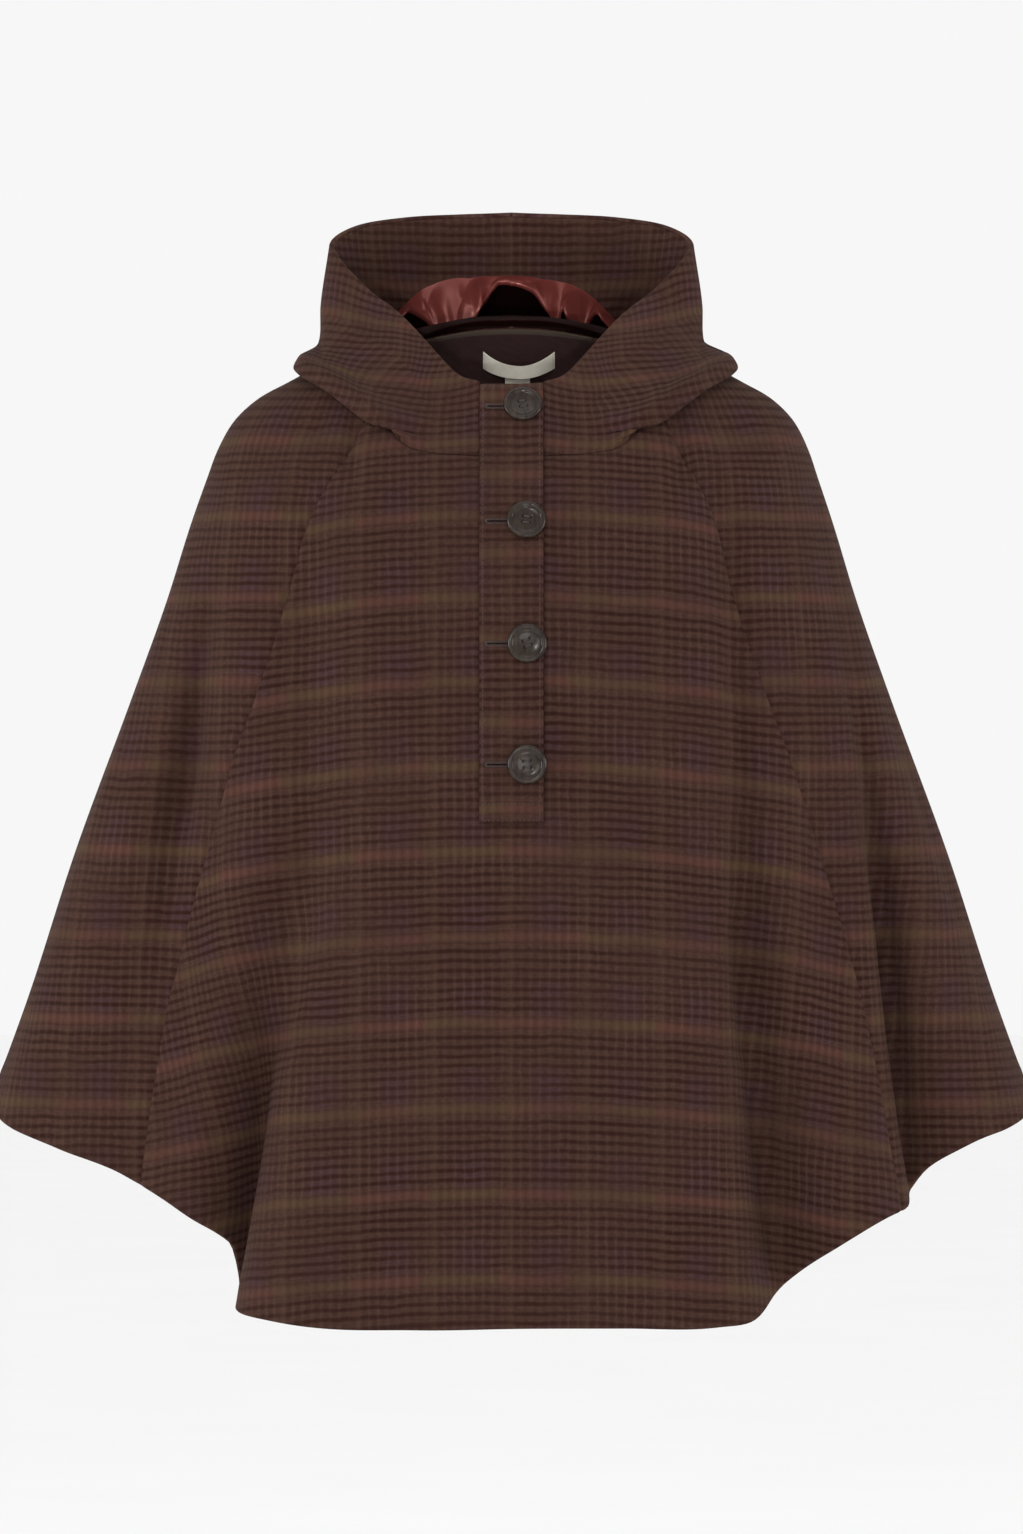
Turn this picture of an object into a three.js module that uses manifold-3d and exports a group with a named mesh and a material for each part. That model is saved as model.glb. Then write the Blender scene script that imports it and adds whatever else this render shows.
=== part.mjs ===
// Hooded wool cape with a half placket, worn and filled out, hood laid back.
// Millimetres, +Z up, the front faces -Y, the wearer's left is +X.
// The origin is the middle of the neck at the level of the shoulders.
import * as THREE from 'three';
import Module from 'manifold-3d';

const manifold = await Module();
manifold.setup();

// Cloth walls and the gap left at each seam.
const WOOL_WALL = 2.0;
const LINING_WALL = 1.2;
const SEAM_GAP = 0.3;

// Placket: a sewn slot with two bands, the upper one closed by a stitched box.
const PLACKET_WIDTH = 45;
const PLACKET_BOX = 15;
const PLACKET_FOOT_UP = -318;
const BUTTON_HEIGHTS = [-38, -120.5, -206.5, -291.5];
const BUTTON_X = [8, 10.5, 11, 11];
const BUTTON_DIAMETER = 28;
const BUTTON_THICK = 4.6;
const BUTTON_TILT = [6, 0, 2, -2];
const HOLE_LENGTH = 31;
const HOLE_OPEN = 1.6;
const HOLE_LEFT = -17;

const FACING_WIDTH = 48;

// The label is sewn on by its two ends, and the tab is sewn on under it. Both
// are placed from the middle and from the neck seam down. Bend is the room left
// for the flats of the facing.
const LABEL_X = 4.5;
const LABEL_WIDTH = 52;
const LABEL_DOWN = 20;
const LABEL_HEIGHT = 18;
const LABEL_SAG = 7;
const LABEL_BOW = 7;
const LABEL_WALL = 1;
const LABEL_BEND = 0.8;
const TAB_X = 3;
const TAB_WIDTH = 18;
const TAB_DOWN = 40;
const TAB_HEIGHT = 20;
const TAB_BEND = 1.4;

// Lines from neck to hem: distance out from the neck's axis, and height.
const SIDE_LINE = [
  { out: 82, up: 13 }, { out: 110, up: 5 }, { out: 140, up: -5 }, { out: 163, up: -17 },
  { out: 185, up: -29.5 }, { out: 200, up: -44 }, { out: 211.5, up: -65 }, { out: 219, up: -86 },
  { out: 229, up: -115 }, { out: 247, up: -173 }, { out: 272.5, up: -245 },
  { out: 312, up: -353 }, { out: 347, up: -461 }, { out: 374, up: -535 },
];
const FRONT_LINE = [
  { out: 66, up: -43 }, { out: 78, up: -58 }, { out: 98, up: -88 }, { out: 114, up: -125 },
  { out: 126, up: -175 }, { out: 134, up: -235 }, { out: 141, up: -330 }, { out: 147, up: -440 },
  { out: 153, up: -560 }, { out: 158, up: -685 },
];
const BACK_LINE = [
  { out: 66, up: 27 }, { out: 84, up: 10 }, { out: 102, up: -18 }, { out: 116, up: -55 },
  { out: 126, up: -105 }, { out: 133, up: -165 }, { out: 139, up: -260 }, { out: 144, up: -370 },
  { out: 148, up: -490 }, { out: 152, up: -690 },
];

// The whole body hangs a little to the wearer's left at the shoulders.
const SWAY = [
  { share: 0, by: 2 }, { share: 0.12, by: 3 }, { share: 0.25, by: 1 }, { share: 0.45, by: 0 },
  { share: 1, by: 0 },
];

// Plan of a level: 2 is an ellipse and more is squarer. Fall is how the level
// drops from the side to the middle. Both go by the share of the way down.
const PLAN = [
  { share: 0, square: 2.3, fall: 2.0 },
  { share: 0.3, square: 2.2, fall: 1.9 },
  { share: 0.7, square: 1.95, fall: 1.7 },
  { share: 1, square: 1.85, fall: 1.6 },
];

// Height of the neck seam by azimuth in degrees.
const NECKLINE = [
  { deg: 0, up: -72 }, { deg: 14, up: -71.5 }, { deg: 22, up: -70 }, { deg: 30, up: -65.5 },
  { deg: 38, up: -52 }, { deg: 47, up: -34 }, { deg: 60, up: -12 }, { deg: 75, up: 3 },
  { deg: 90, up: 10 }, { deg: 110, up: 17 }, { deg: 135, up: 23 }, { deg: 180, up: 27 },
];

// Height of the hem by azimuth, wearer's left positive.
const HEM = [
  { deg: -180, up: -688 }, { deg: -160, up: -672 }, { deg: -148, up: -640 },
  { deg: -138, up: -600 }, { deg: -128, up: -572 }, { deg: -110, up: -546 },
  { deg: -90, up: -533 }, { deg: -80, up: -538 },
  { deg: -70, up: -550 }, { deg: -60, up: -563 }, { deg: -50, up: -581 },
  { deg: -45, up: -598 }, { deg: -42, up: -612 }, { deg: -39, up: -624 }, { deg: -37.5, up: -631 },
  { deg: -36, up: -648 }, { deg: -34.5, up: -667 }, { deg: -33, up: -673 }, { deg: -30, up: -676 },
  { deg: -27, up: -679 }, { deg: -24, up: -683 }, { deg: -12, up: -686 }, { deg: 0, up: -685 },
  { deg: 14, up: -685 }, { deg: 24, up: -685 }, { deg: 29, up: -680 },
  { deg: 32, up: -668 }, { deg: 35, up: -655 }, { deg: 39, up: -636 }, { deg: 46, up: -609 },
  { deg: 51, up: -601 }, { deg: 54, up: -592 }, { deg: 57, up: -576 }, { deg: 62, up: -560 },
  { deg: 70, up: -549 }, { deg: 80, up: -539 }, { deg: 90, up: -533 },
  { deg: 110, up: -546 }, { deg: 128, up: -572 }, { deg: 138, up: -600 },
  { deg: 148, up: -640 }, { deg: 160, up: -672 }, { deg: 180, up: -688 },
];

// Folds of the skirt. A valley goes in by depth and a ridge has a depth below
// nothing. Lean carries its edge sideways over the valley.
const FOLDS = [
  { neck: -31, hem: -35, half: 5.6, depth: 55, lean: -22, start: 0.5, full: 0.98 },
  { neck: -22, hem: -25, half: 7, depth: -9, lean: 0, start: 0.55, full: 1 },
  { neck: -69, hem: -48, half: 7, depth: 14, lean: 0, start: 0.28, full: 0.6 },
  { neck: -76, hem: -72, half: 9, depth: -6, lean: 0, start: 0.4, full: 1 },
  { neck: 35, hem: 34, half: 5.4, depth: 36, lean: 6, start: 0.34, full: 1 },
  { neck: 43, hem: 42, half: 6, depth: -7, lean: 0, start: 0.6, full: 1 },
  { neck: 74, hem: 54, half: 4.8, depth: 30, lean: 8, start: 0.42, full: 0.92 },
  { neck: 80, hem: 72, half: 9, depth: -5, lean: 0, start: 0.5, full: 1 },
  { neck: 4, hem: 6, half: 9, depth: 4, lean: 0, start: 0.55, full: 0.9 },
  { neck: 122, hem: 124, half: 6, depth: 26, lean: 0, start: 0.45, full: 1 },
  { neck: 152, hem: 150, half: 7, depth: 30, lean: 0, start: 0.4, full: 1 },
  { neck: 174, hem: 176, half: 6, depth: 22, lean: 0, start: 0.5, full: 1 },
  { neck: -158, hem: -156, half: 7, depth: 32, lean: 0, start: 0.42, full: 1 },
  { neck: -128, hem: -130, half: 6.5, depth: 24, lean: 0, start: 0.5, full: 1 },
];

// The hood by the azimuth of its place on the neck seam: cloth lying on the
// shoulders or back, thickness of the roll, then the wall and the rim.
const HOOD = [
  { deg: 12, lies: 0, roll: 6, wallOut: 77, wallUp: -45, rimAt: 23, rimOut: 62, rimUp: -20 },
  { deg: 22, lies: 0, roll: 7, wallOut: 81, wallUp: -38, rimAt: 40, rimOut: 62, rimUp: -13 },
  { deg: 30, lies: 3, roll: 8, wallOut: 90, wallUp: -25, rimAt: 55, rimOut: 65, rimUp: 1 },
  { deg: 38, lies: 10, roll: 9, wallOut: 104, wallUp: -8, rimAt: 67, rimOut: 71, rimUp: 15 },
  { deg: 47, lies: 20, roll: 9, wallOut: 117, wallUp: 2, rimAt: 79, rimOut: 82, rimUp: 31 },
  { deg: 60, lies: 40, roll: 9, wallOut: 131, wallUp: 10, rimAt: 91, rimOut: 103, rimUp: 49 },
  { deg: 75, lies: 58, roll: 8.5, wallOut: 138, wallUp: 12, rimAt: 99, rimOut: 127, rimUp: 73 },
  { deg: 90, lies: 65, roll: 8.5, wallOut: 139, wallUp: 14, rimAt: 107, rimOut: 137, rimUp: 85.5 },
  { deg: 110, lies: 70, roll: 13, wallOut: 144, wallUp: 23, rimAt: 119, rimOut: 131, rimUp: 98.5 },
  { deg: 135, lies: 124, roll: 27, wallOut: 154, wallUp: 26, rimAt: 137, rimOut: 115, rimUp: 106.5 },
  { deg: 160, lies: 188, roll: 36, wallOut: 160, wallUp: 14, rimAt: 158, rimOut: 102, rimUp: 109.5 },
  { deg: 180, lies: 208, roll: 38, wallOut: 162, wallUp: 8, rimAt: 180, rimOut: 96, rimUp: 111 },
];

// Seams down the body, by azimuth. The front ones bend on their way from the
// neck to the hem.
const FRONT_RAGLAN = [
  { share: 0, deg: 47 }, { share: 0.08, deg: 42.2 }, { share: 0.2, deg: 42.4 },
  { share: 0.38, deg: 45 }, { share: 0.5, deg: 48 }, { share: 0.62, deg: 50 },
  { share: 0.75, deg: 50.5 }, { share: 1, deg: 48 },
];
const BACK_RAGLAN_DEG = 136;
const OVERARM_DEG = 90;

const COLOURS = {
  wool: 0x7d5241,
  satin: 0xb0573f,
  brown: 0x3b2522,
  ivory: 0xe9e2d2,
  horn: 0x4c4a3f,
};

const rad = (deg) => (deg * Math.PI) / 180;
const mix = (a, b, k) => a + (b - a) * k;
const clamp01 = (k) => Math.min(1, Math.max(0, k));
const ease = (k) => clamp01(k) ** 2 * (3 - 2 * clamp01(k));
const add = (p, v, k = 1) => [p[0] + v[0] * k, p[1] + v[1] * k, p[2] + v[2] * k];
const sub = (p, v) => add(p, v, -1);
const dot = (p, v) => p[0] * v[0] + p[1] * v[1] + p[2] * v[2];
const length = (v) => Math.hypot(v[0], v[1], v[2]);
const unit = (v) => v.map((c) => c / length(v));
const cross = (p, v) => [
  p[1] * v[2] - p[2] * v[1], p[2] * v[0] - p[0] * v[2], p[0] * v[1] - p[1] * v[0],
];

// A smooth line through the points of a table, by one of its columns.
function through(xs, ys) {
  const n = xs.length;
  const slope = ys.map((y, i) => {
    const a = Math.max(0, i - 1);
    const b = Math.min(n - 1, i + 1);
    if (a === i || b === i) {
      return (ys[b] - ys[a]) / (xs[b] - xs[a]);
    }
    const before = (y - ys[a]) / (xs[i] - xs[a]);
    const after = (ys[b] - y) / (xs[b] - xs[i]);
    return (before * (xs[b] - xs[i]) + after * (xs[i] - xs[a])) / (xs[b] - xs[a]);
  });
  return (x) => {
    let i = 0;
    while (i < n - 2 && x > xs[i + 1]) {
      i += 1;
    }
    const step = xs[i + 1] - xs[i];
    const k = Math.min(1, Math.max(0, (x - xs[i]) / step));
    const k2 = k * k;
    const k3 = k2 * k;
    return ys[i] * (2 * k3 - 3 * k2 + 1) + ys[i + 1] * (3 * k2 - 2 * k3)
      + step * (slope[i] * (k3 - 2 * k2 + k) + slope[i + 1] * (k3 - k2));
  };
}

const column = (rows, by, name) => through(rows.map((r) => r[by]), rows.map((r) => r[name]));

// A line of points gone along by the share of its length.
function alongPoints(points) {
  const at = [0];
  for (let i = 1; i < points.length; i += 1) {
    at.push(at[i - 1] + length(sub(points[i], points[i - 1])));
  }
  const total = at[at.length - 1];
  const shares = at.map((d) => d / total);
  const parts = [0, 1, 2].map((c) => through(shares, points.map((p) => p[c])));
  const line = (share) => parts.map((f) => f(share));
  line.shares = shares;
  return line;
}

const bodyLine = (rows) => alongPoints(rows.map((r) => [r.out, r.up, 0]));
const sideLine = bodyLine(SIDE_LINE);
const frontLine = bodyLine(FRONT_LINE);
const backLine = bodyLine(BACK_LINE);
const squareAt = column(PLAN, 'share', 'square');
const fallAt = column(PLAN, 'share', 'fall');
const swayAt = column(SWAY, 'share', 'by');
const neckUpAt = column(NECKLINE, 'deg', 'up');
const hemAt = column(HEM, 'deg', 'up');
const raglanAt = column(FRONT_RAGLAN, 'share', 'deg');

const wrap = (deg) => ((((deg + 180) % 360) + 360) % 360) - 180;

// The body without its folds.
function plainBody(deg, share) {
  const s = Math.sin(rad(deg));
  const c = Math.cos(rad(deg));
  const side = sideLine(share);
  const end = c >= 0 ? frontLine(share) : backLine(share);
  const power = 2 / squareAt(share);
  const sx = Math.abs(s) ** power;
  const cy = Math.abs(c) ** power;
  return [
    Math.sign(s) * side[0] * sx + swayAt(share) * sx,
    -Math.sign(c) * end[0] * cy,
    end[1] + (side[1] - end[1]) * sx ** fallAt(share),
  ];
}

// The middle of the cloth at an azimuth and a share of the way to the hem.
function body(degrees, share) {
  const deg = wrap(degrees);
  const p = plainBody(deg, share);
  const drop = hemAt(deg) - plainBody(deg, 1)[2];
  p[2] += drop * ease((share - 0.25) / 0.75) * share;
  let depth = 0;
  let lean = 0;
  for (const f of FOLDS) {
    const u = wrap(deg - mix(f.neck, f.hem, share)) / f.half;
    if (Math.abs(u) < 4) {
      const grown = ease((share - f.start) / (f.full - f.start));
      depth += grown * f.depth * Math.exp(-u * u);
      const edge = Math.exp(-((u + 1) ** 2)) - 0.6 * Math.exp(-((u - 1) ** 2));
      lean += grown * f.lean * (f.lean < 0 ? edgeMirror(u) : edge);
    }
  }
  const ahead = sub(plainBody(deg + 0.5, share), plainBody(deg - 0.5, share));
  const size = Math.hypot(ahead[0], ahead[1]);
  const tangent = [ahead[0] / size, ahead[1] / size];
  p[0] += -tangent[1] * depth + tangent[0] * lean;
  p[1] += tangent[0] * depth + tangent[1] * lean;
  return p;
}

function edgeMirror(u) {
  return Math.exp(-((u - 1) ** 2)) - 0.6 * Math.exp(-((u + 1) ** 2));
}

// The first of two numbers, low or high, at which a falling line passes a value.
function whereFalls(low, high, line, value) {
  let from = low;
  let to = high;
  for (let i = 0; i < 40; i += 1) {
    const middle = (from + to) / 2;
    if (line(middle) > value) {
      from = middle;
    } else {
      to = middle;
    }
  }
  return (from + to) / 2;
}

// The share of the way down at which the neck seam lies, from a line of places.
const neckShares = Array.from({ length: 181 }, (_, deg) => whereFalls(
  0, 0.3, (share) => plainBody(deg, share)[2], neckUpAt(deg),
));
const neckShareAt = through(neckShares.map((_, deg) => deg), neckShares);

// The share of the way down, counted from the neck seam.
const fromNeck = (deg, k) => mix(neckShareAt(Math.abs(wrap(deg))), 1, k);

// The normal of a surface given by two numbers, by small steps of each.
function normalOf(surface, u, v, du, dv) {
  const across = sub(surface(u + du, v), surface(u - du, v));
  const down = sub(surface(u, v + dv), surface(u, v - dv));
  return unit(cross(down, across));
}

const bodyFromNeck = (deg, k) => body(deg, fromNeck(deg, k));
const bodyNormal = (deg, k) => normalOf(bodyFromNeck, deg, Math.max(0.001, k), 0.05, 0.0005);
const bodyWall = (deg, k, out) => add(bodyFromNeck(deg, k), bodyNormal(deg, k), out);

// The hood's line from its place on the neck seam to its rim, through points
// that are marked: seam, turn, three on the body, the roll, the wall, the rim.
const HOOD_PARTS = ['lies', 'roll', 'wallOut', 'wallUp', 'rimAt', 'rimOut', 'rimUp'];
const hoodTables = HOOD_PARTS.map((name) => column(HOOD, 'deg', name));
const BODY_LENGTH = 700;
const FACING_MARK = 10;
const RIM_MARK = 11;

// The wall swells out above the roll at the back and not on the shoulders.
const wallSwell = (at) => 0.08 * ease((at - 110) / 50);

function hoodPoints(degrees) {
  const side = degrees < 0 ? -1 : 1;
  const at = Math.min(179.99, Math.abs(degrees));
  const [lies, roll, wallOut, wallUp, rimAt, rimOut, rimUp] = hoodTables.map((f) => f(at));
  const seam = bodyFromNeck(side * at, 0);
  const seamAt = (Math.atan2(Math.abs(seam[0]), -seam[1]) * 180) / Math.PI;
  const onBody = (distance, lift) => bodyWall(side * at, Math.max(0, distance) / BODY_LENGTH, lift);
  const inPlane = (angle, out, up) => [
    side * out * Math.sin(rad(angle)), -out * Math.cos(rad(angle)), up,
  ];
  const toward = (a, b, k) => add(a, sub(b, a), k);
  const down = unit(sub(bodyFromNeck(side * at, 0.01), seam));
  const start = add(seam, down, -SEAM_GAP);
  const wall = inPlane(mix(seamAt, rimAt, 0.62), wallOut, wallUp);
  const rim = inPlane(rimAt, rimOut, rimUp);
  const clear = 4 + 2 * ease((at - 92) / 26);
  const above = onBody(lies - roll * 0.1, clear + roll);
  const outside = unit([wall[0], wall[1], length(wall) * 0.15]);
  const faced = Math.min(0.6, FACING_WIDTH / length(sub(wall, rim)));
  const laidDown = [
    start,
    add(add(start, down, -5), bodyNormal(side * at, 0), 2.5),
    onBody(4, clear + 1),
    onBody(lies * 0.28, clear),
    onBody(lies * 0.64, clear),
    onBody(lies - roll * 0.15, clear + roll * 0.12),
    onBody(lies + roll * 0.45, clear + roll * 0.5),
    above,
    add(toward(above, wall, 0.5), outside, length(sub(above, wall)) * wallSwell(at)),
    wall,
    add(toward(rim, wall, faced), outside, 2),
    rim,
  ];
  const stand = alongPoints([start, wall, rim]);
  const laid = ease(lies / 14);
  const upright = 1 - ease((at - placketDeg(side)) / 9);
  const edge = side * (PLACKET_WIDTH / 2 + SEAM_GAP);
  return laidDown.map((p, i) => {
    const q = toward(stand(i === RIM_MARK ? 1 : i * 0.05), p, i === 0 ? 0 : laid);
    return [mix(q[0], edge, upright), q[1], q[2]];
  });
}

// Hood lines are kept, because each is asked for many times.
const kept = new Map();
function hoodLine(deg) {
  const key = deg.toFixed(4);
  if (!kept.has(key)) {
    kept.set(key, alongPoints(hoodPoints(deg)));
  }
  return kept.get(key);
}

// The middle of the hood's cloth by azimuth and mark.
function hood(deg, mark) {
  const line = hoodLine(deg);
  const whole = Math.min(RIM_MARK - 1, Math.max(0, Math.floor(mark)));
  return line(mix(line.shares[whole], line.shares[whole + 1], mark - whole));
}

function hoodNormal(deg, mark) {
  const side = deg < 0 ? -1 : 1;
  const at = Math.abs(deg);
  const from = Math.min(179.8, Math.max(placketDeg(side) + 0.1, at)) * side;
  const n = normalOf(hood, from, Math.min(RIM_MARK - 0.02, Math.max(0.02, mark)), 0.1, 0.02);
  const straight = at - placketDeg(side) < 0.01 || at > 179.5;
  return unit([straight ? 0 : -n[0], -n[1], -n[2]]);
}
const hoodWall = (deg, mark, out) => add(
  hood(deg, mark), mark === 0 ? bodyNormal(deg, 0) : hoodNormal(deg, mark), out,
);

// Azimuth at which the body is a given distance from its middle line, in front
// or behind.
function degAtX(x, k, behind = false) {
  const side = x < 0 ? -1 : 1;
  const round = (deg) => side * (behind ? 180 - deg : deg);
  const inward = (deg) => -Math.abs(bodyFromNeck(round(deg), k)[0]);
  return round(whereFalls(0, 60, inward, -Math.abs(x)));
}
const SLOT_HALF = PLACKET_WIDTH / 2 + SEAM_GAP;
const PLACKET_DEGS = { left: degAtX(SLOT_HALF, 0), right: -degAtX(-SLOT_HALF, 0) };
function placketDeg(side) {
  return side < 0 ? PLACKET_DEGS.right : PLACKET_DEGS.left;
}

// A closed wall of cloth over a grid of places. Each place gives its outer and
// inner point, and a cell is left out where the filter says so. A crossed
// column has its cells cut along their other diagonal.
function clothSolid(rows, columns, place, filter = () => true, crossed = () => false) {
  const points = [];
  const faces = [];
  const index = (r, c, inner) => 2 * (r * columns + c) + (inner ? 1 : 0);
  for (let r = 0; r < rows; r += 1) {
    for (let c = 0; c < columns; c += 1) {
      points.push(...place(r, c));
    }
  }
  const open = new Map();
  const edge = (a, b) => {
    const back = `${b[0]},${b[1]},${a[0]},${a[1]}`;
    if (open.has(back)) {
      open.delete(back);
    } else {
      open.set(`${a[0]},${a[1]},${b[0]},${b[1]}`, [a, b]);
    }
  };
  for (let r = 0; r + 1 < rows; r += 1) {
    for (let c = 0; c + 1 < columns; c += 1) {
      if (filter(r, c)) {
        const ring = [[r, c], [r + 1, c], [r + 1, c + 1], [r, c + 1]];
        const o = ring.map((q) => index(q[0], q[1], false));
        const i = ring.map((q) => index(q[0], q[1], true));
        if (crossed(c)) {
          faces.push([o[0], o[1], o[3]], [o[1], o[2], o[3]]);
          faces.push([i[0], i[3], i[1]], [i[1], i[3], i[2]]);
        } else {
          faces.push([o[0], o[1], o[2]], [o[0], o[2], o[3]]);
          faces.push([i[0], i[2], i[1]], [i[0], i[3], i[2]]);
        }
        ring.forEach((q, n) => edge(q, ring[(n + 1) % 4]));
      }
    }
  }
  for (const [a, b] of open.values()) {
    const oa = index(a[0], a[1], false);
    const ob = index(b[0], b[1], false);
    const ia = index(a[0], a[1], true);
    const ib = index(b[0], b[1], true);
    faces.push([oa, ia, ib], [oa, ib, ob]);
  }
  return outward(points, faces);
}

// Faces are turned so that the solid's volume is above nothing.
function outward(points, faces) {
  let volume = 0;
  for (const [a, b, c] of faces) {
    volume += dot(points[a], cross(points[b], points[c]));
  }
  const turned = volume < 0 ? faces.map(([a, b, c]) => [a, c, b]) : faces;
  const used = [...new Set(turned.flat())];
  const place = new Map(used.map((v, i) => [v, i]));
  const geometry = new THREE.BufferGeometry();
  const flat = used.flatMap((v) => points[v]);
  geometry.setAttribute('position', new THREE.Float32BufferAttribute(flat, 3));
  geometry.setIndex(turned.flat().map((v) => place.get(v)));
  geometry.computeVertexNormals();
  return geometry;
}

const bothSides = (wall, place) => [place(wall / 2), place(-wall / 2)];

// Shares of the way down at which every panel has a row of points.
const SLOT_K = whereFalls(0.2, 0.7, (k) => bodyFromNeck(0, k)[2], PLACKET_FOOT_UP);
const BODY_ROWS = [
  0, 0.03, 0.065, 0.105, 0.15, 0.2, 0.26, 0.34, SLOT_K, 0.51, 0.59, 0.67, 0.75, 0.83, 0.9,
  0.955, 1,
];

// Half a seam gap as an angle round the body.
function gapDeg(deg, k) {
  const step = length(sub(bodyFromNeck(deg + 0.2, k), bodyFromNeck(deg - 0.2, k))) / 0.4;
  return SEAM_GAP / 2 / step;
}

function bodyPanel(from, to, shares) {
  return clothSolid(BODY_ROWS.length, shares.length, (r, c) => {
    const k = BODY_ROWS[r];
    const start = from(k);
    const end = to(k);
    const deg = mix(start + gapDeg(start, k), end - gapDeg(end, k), shares[c]);
    return bothSides(WOOL_WALL, (out) => bodyWall(deg, k, out));
  });
}

const SLOT_COLUMNS = 3;
const FRONT_SHARES = [0, 0.14, 0.27, 0.36, 0.43, 0.49, 0.55, 0.61, 0.7, 0.84, 1];
const slotRow = BODY_ROWS.indexOf(SLOT_K);

// The front, one piece from raglan to raglan, with the slot for the placket.
function frontPanel() {
  const sides = FRONT_SHARES.length;
  const columns = 2 * sides + SLOT_COLUMNS - 1;
  return clothSolid(BODY_ROWS.length, columns, (r, c) => {
    const k = BODY_ROWS[r];
    const right = degAtX(-SLOT_HALF, k);
    const left = degAtX(SLOT_HALF, k);
    const outer = raglanAt(k) - gapDeg(raglanAt(k), k);
    let deg;
    if (c < sides) {
      deg = mix(right, -outer, FRONT_SHARES[sides - 1 - c]);
    } else if (c >= columns - sides) {
      deg = mix(left, outer, FRONT_SHARES[c - columns + sides]);
    } else {
      deg = mix(right, left, (c - sides + 1) / SLOT_COLUMNS);
    }
    return bothSides(WOOL_WALL, (out) => bodyWall(deg, k, out));
  }, (r, c) => r >= slotRow || c < sides - 1 || c >= columns - sides);
}

const SIDE_FRONT_SHARES = [0, 0.09, 0.18, 0.27, 0.38, 0.5, 0.62, 0.74, 0.87, 1];
const SIDE_BACK_SHARES = [0, 0.13, 0.27, 0.42, 0.56, 0.68, 0.79, 0.89, 1];
const BACK_SHARES = [
  0, 0.06, 0.12, 0.18, 0.24, 0.3, 0.37, 0.44, 0.5, 0.56, 0.63, 0.7, 0.76, 0.82, 0.88, 0.94, 1,
];

// The middle line of the placket goes up the body's front and the hood's stand.
const STAND_MARK = 10.95;
function placketLine(x) {
  const points = [];
  const from = Math.abs(x) < 0.5 ? 0.5 : x;
  const side = from < 0 ? -1 : 1;
  const seam = hood(side * placketDeg(side), 0);
  const bow = bodyFromNeck(degAtX(from, 0), 0)[1] - seam[1];
  for (let i = 6; i >= 0; i -= 1) {
    const p = hood(side * placketDeg(side), mix(1, STAND_MARK, i / 6));
    points.push([x, p[1] + bow, p[2]]);
  }
  for (let i = 1; i <= 26; i += 1) {
    const k = (i / 26) * (SLOT_K * 1.12);
    const p = bodyFromNeck(degAtX(from, k), k);
    points.push([x, p[1], p[2]]);
  }
  return alongPoints(points);
}

function placketAtHeight(x, up) {
  const line = placketLine(x);
  const share = whereFalls(0, 1, (k) => line(k)[2], up);
  const p = line(share);
  const t = unit(sub(line(Math.min(1, share + 0.004)), line(Math.max(0, share - 0.004))));
  return { p, normal: [0, t[2], -t[1]] };
}

function placketPoint(x, up, out) {
  const { p, normal } = placketAtHeight(x, up);
  return add(p, normal, out);
}

const placketTop = hood(placketDeg(1), STAND_MARK)[2];
const overLift = WOOL_WALL + SEAM_GAP;

// Heights of the rows of both bands, with a pair at each buttonhole.
const placketUps = [placketTop, ...BUTTON_HEIGHTS.flatMap((up) => [up + HOLE_OPEN / 2, up - HOLE_OPEN / 2]),
  -54, -63, -70, -76, -84, -94, -106, -136, -155, -180, -235, -263, PLACKET_FOOT_UP,
  PLACKET_FOOT_UP - PLACKET_BOX].sort((a, b) => b - a);
const isHole = (r) => BUTTON_HEIGHTS.some((up) => Math.abs(placketUps[r] - up - HOLE_OPEN / 2) < 1e-6);

function placketOver() {
  const half = PLACKET_WIDTH / 2;
  const xs = [-half, HOLE_LEFT, 0, HOLE_LEFT + HOLE_LENGTH, half];
  return clothSolid(placketUps.length, xs.length, (r, c) => bothSides(
    WOOL_WALL, (out) => placketPoint(xs[c], placketUps[r], overLift + out),
  ), (r, c) => !(isHole(r) && c > 0 && c < 3));
}

function placketUnder() {
  const half = PLACKET_WIDTH / 2;
  const xs = [-half, 0, half];
  return clothSolid(placketUps.length - 1, xs.length, (r, c) => {
    const foot = r === placketUps.length - 2 ? 1.6 : 0;
    return bothSides(WOOL_WALL, (out) => placketPoint(xs[c], placketUps[r] + foot, out));
  });
}

// Columns round the neck: those of the panels below, so that the edges match.
function halfDegs(side) {
  const front = FRONT_SHARES.map((s) => mix(placketDeg(side), raglanAt(0), s));
  const sideFront = SIDE_FRONT_SHARES.slice(1).map((s) => mix(raglanAt(0), OVERARM_DEG, s));
  const sideBack = SIDE_BACK_SHARES.slice(1).map((s) => mix(OVERARM_DEG, BACK_RAGLAN_DEG, s));
  const back = BACK_SHARES.filter((s) => s > 0 && s <= 0.5).map(
    (s) => mix(BACK_RAGLAN_DEG, 360 - BACK_RAGLAN_DEG, s),
  );
  return [...front, ...sideFront, ...sideBack, ...back].map((deg) => side * deg);
}

// Rows of the hood by mark: up to the facing's edge, and on to the rim.
const LINED_ROWS = [0, 1, 2, 2.5, 3, 4, 5, 5.5, 6, 6.5, 7, 8, 9, FACING_MARK];
const FACED_ROWS = [FACING_MARK, FACING_MARK + 0.5, RIM_MARK];
const HOOD_ROWS = [...LINED_ROWS, ...FACED_ROWS.slice(1)];

function hoodSide(side) {
  const degs = halfDegs(side);
  const centre = degs.length - 1;
  return clothSolid(HOOD_ROWS.length, degs.length, (r, c) => bothSides(WOOL_WALL, (out) => {
    const p = hoodWall(degs[c], HOOD_ROWS[r], out);
    return c === centre ? [side * (SEAM_GAP / 2), p[1], p[2]] : p;
  }));
}

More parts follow.
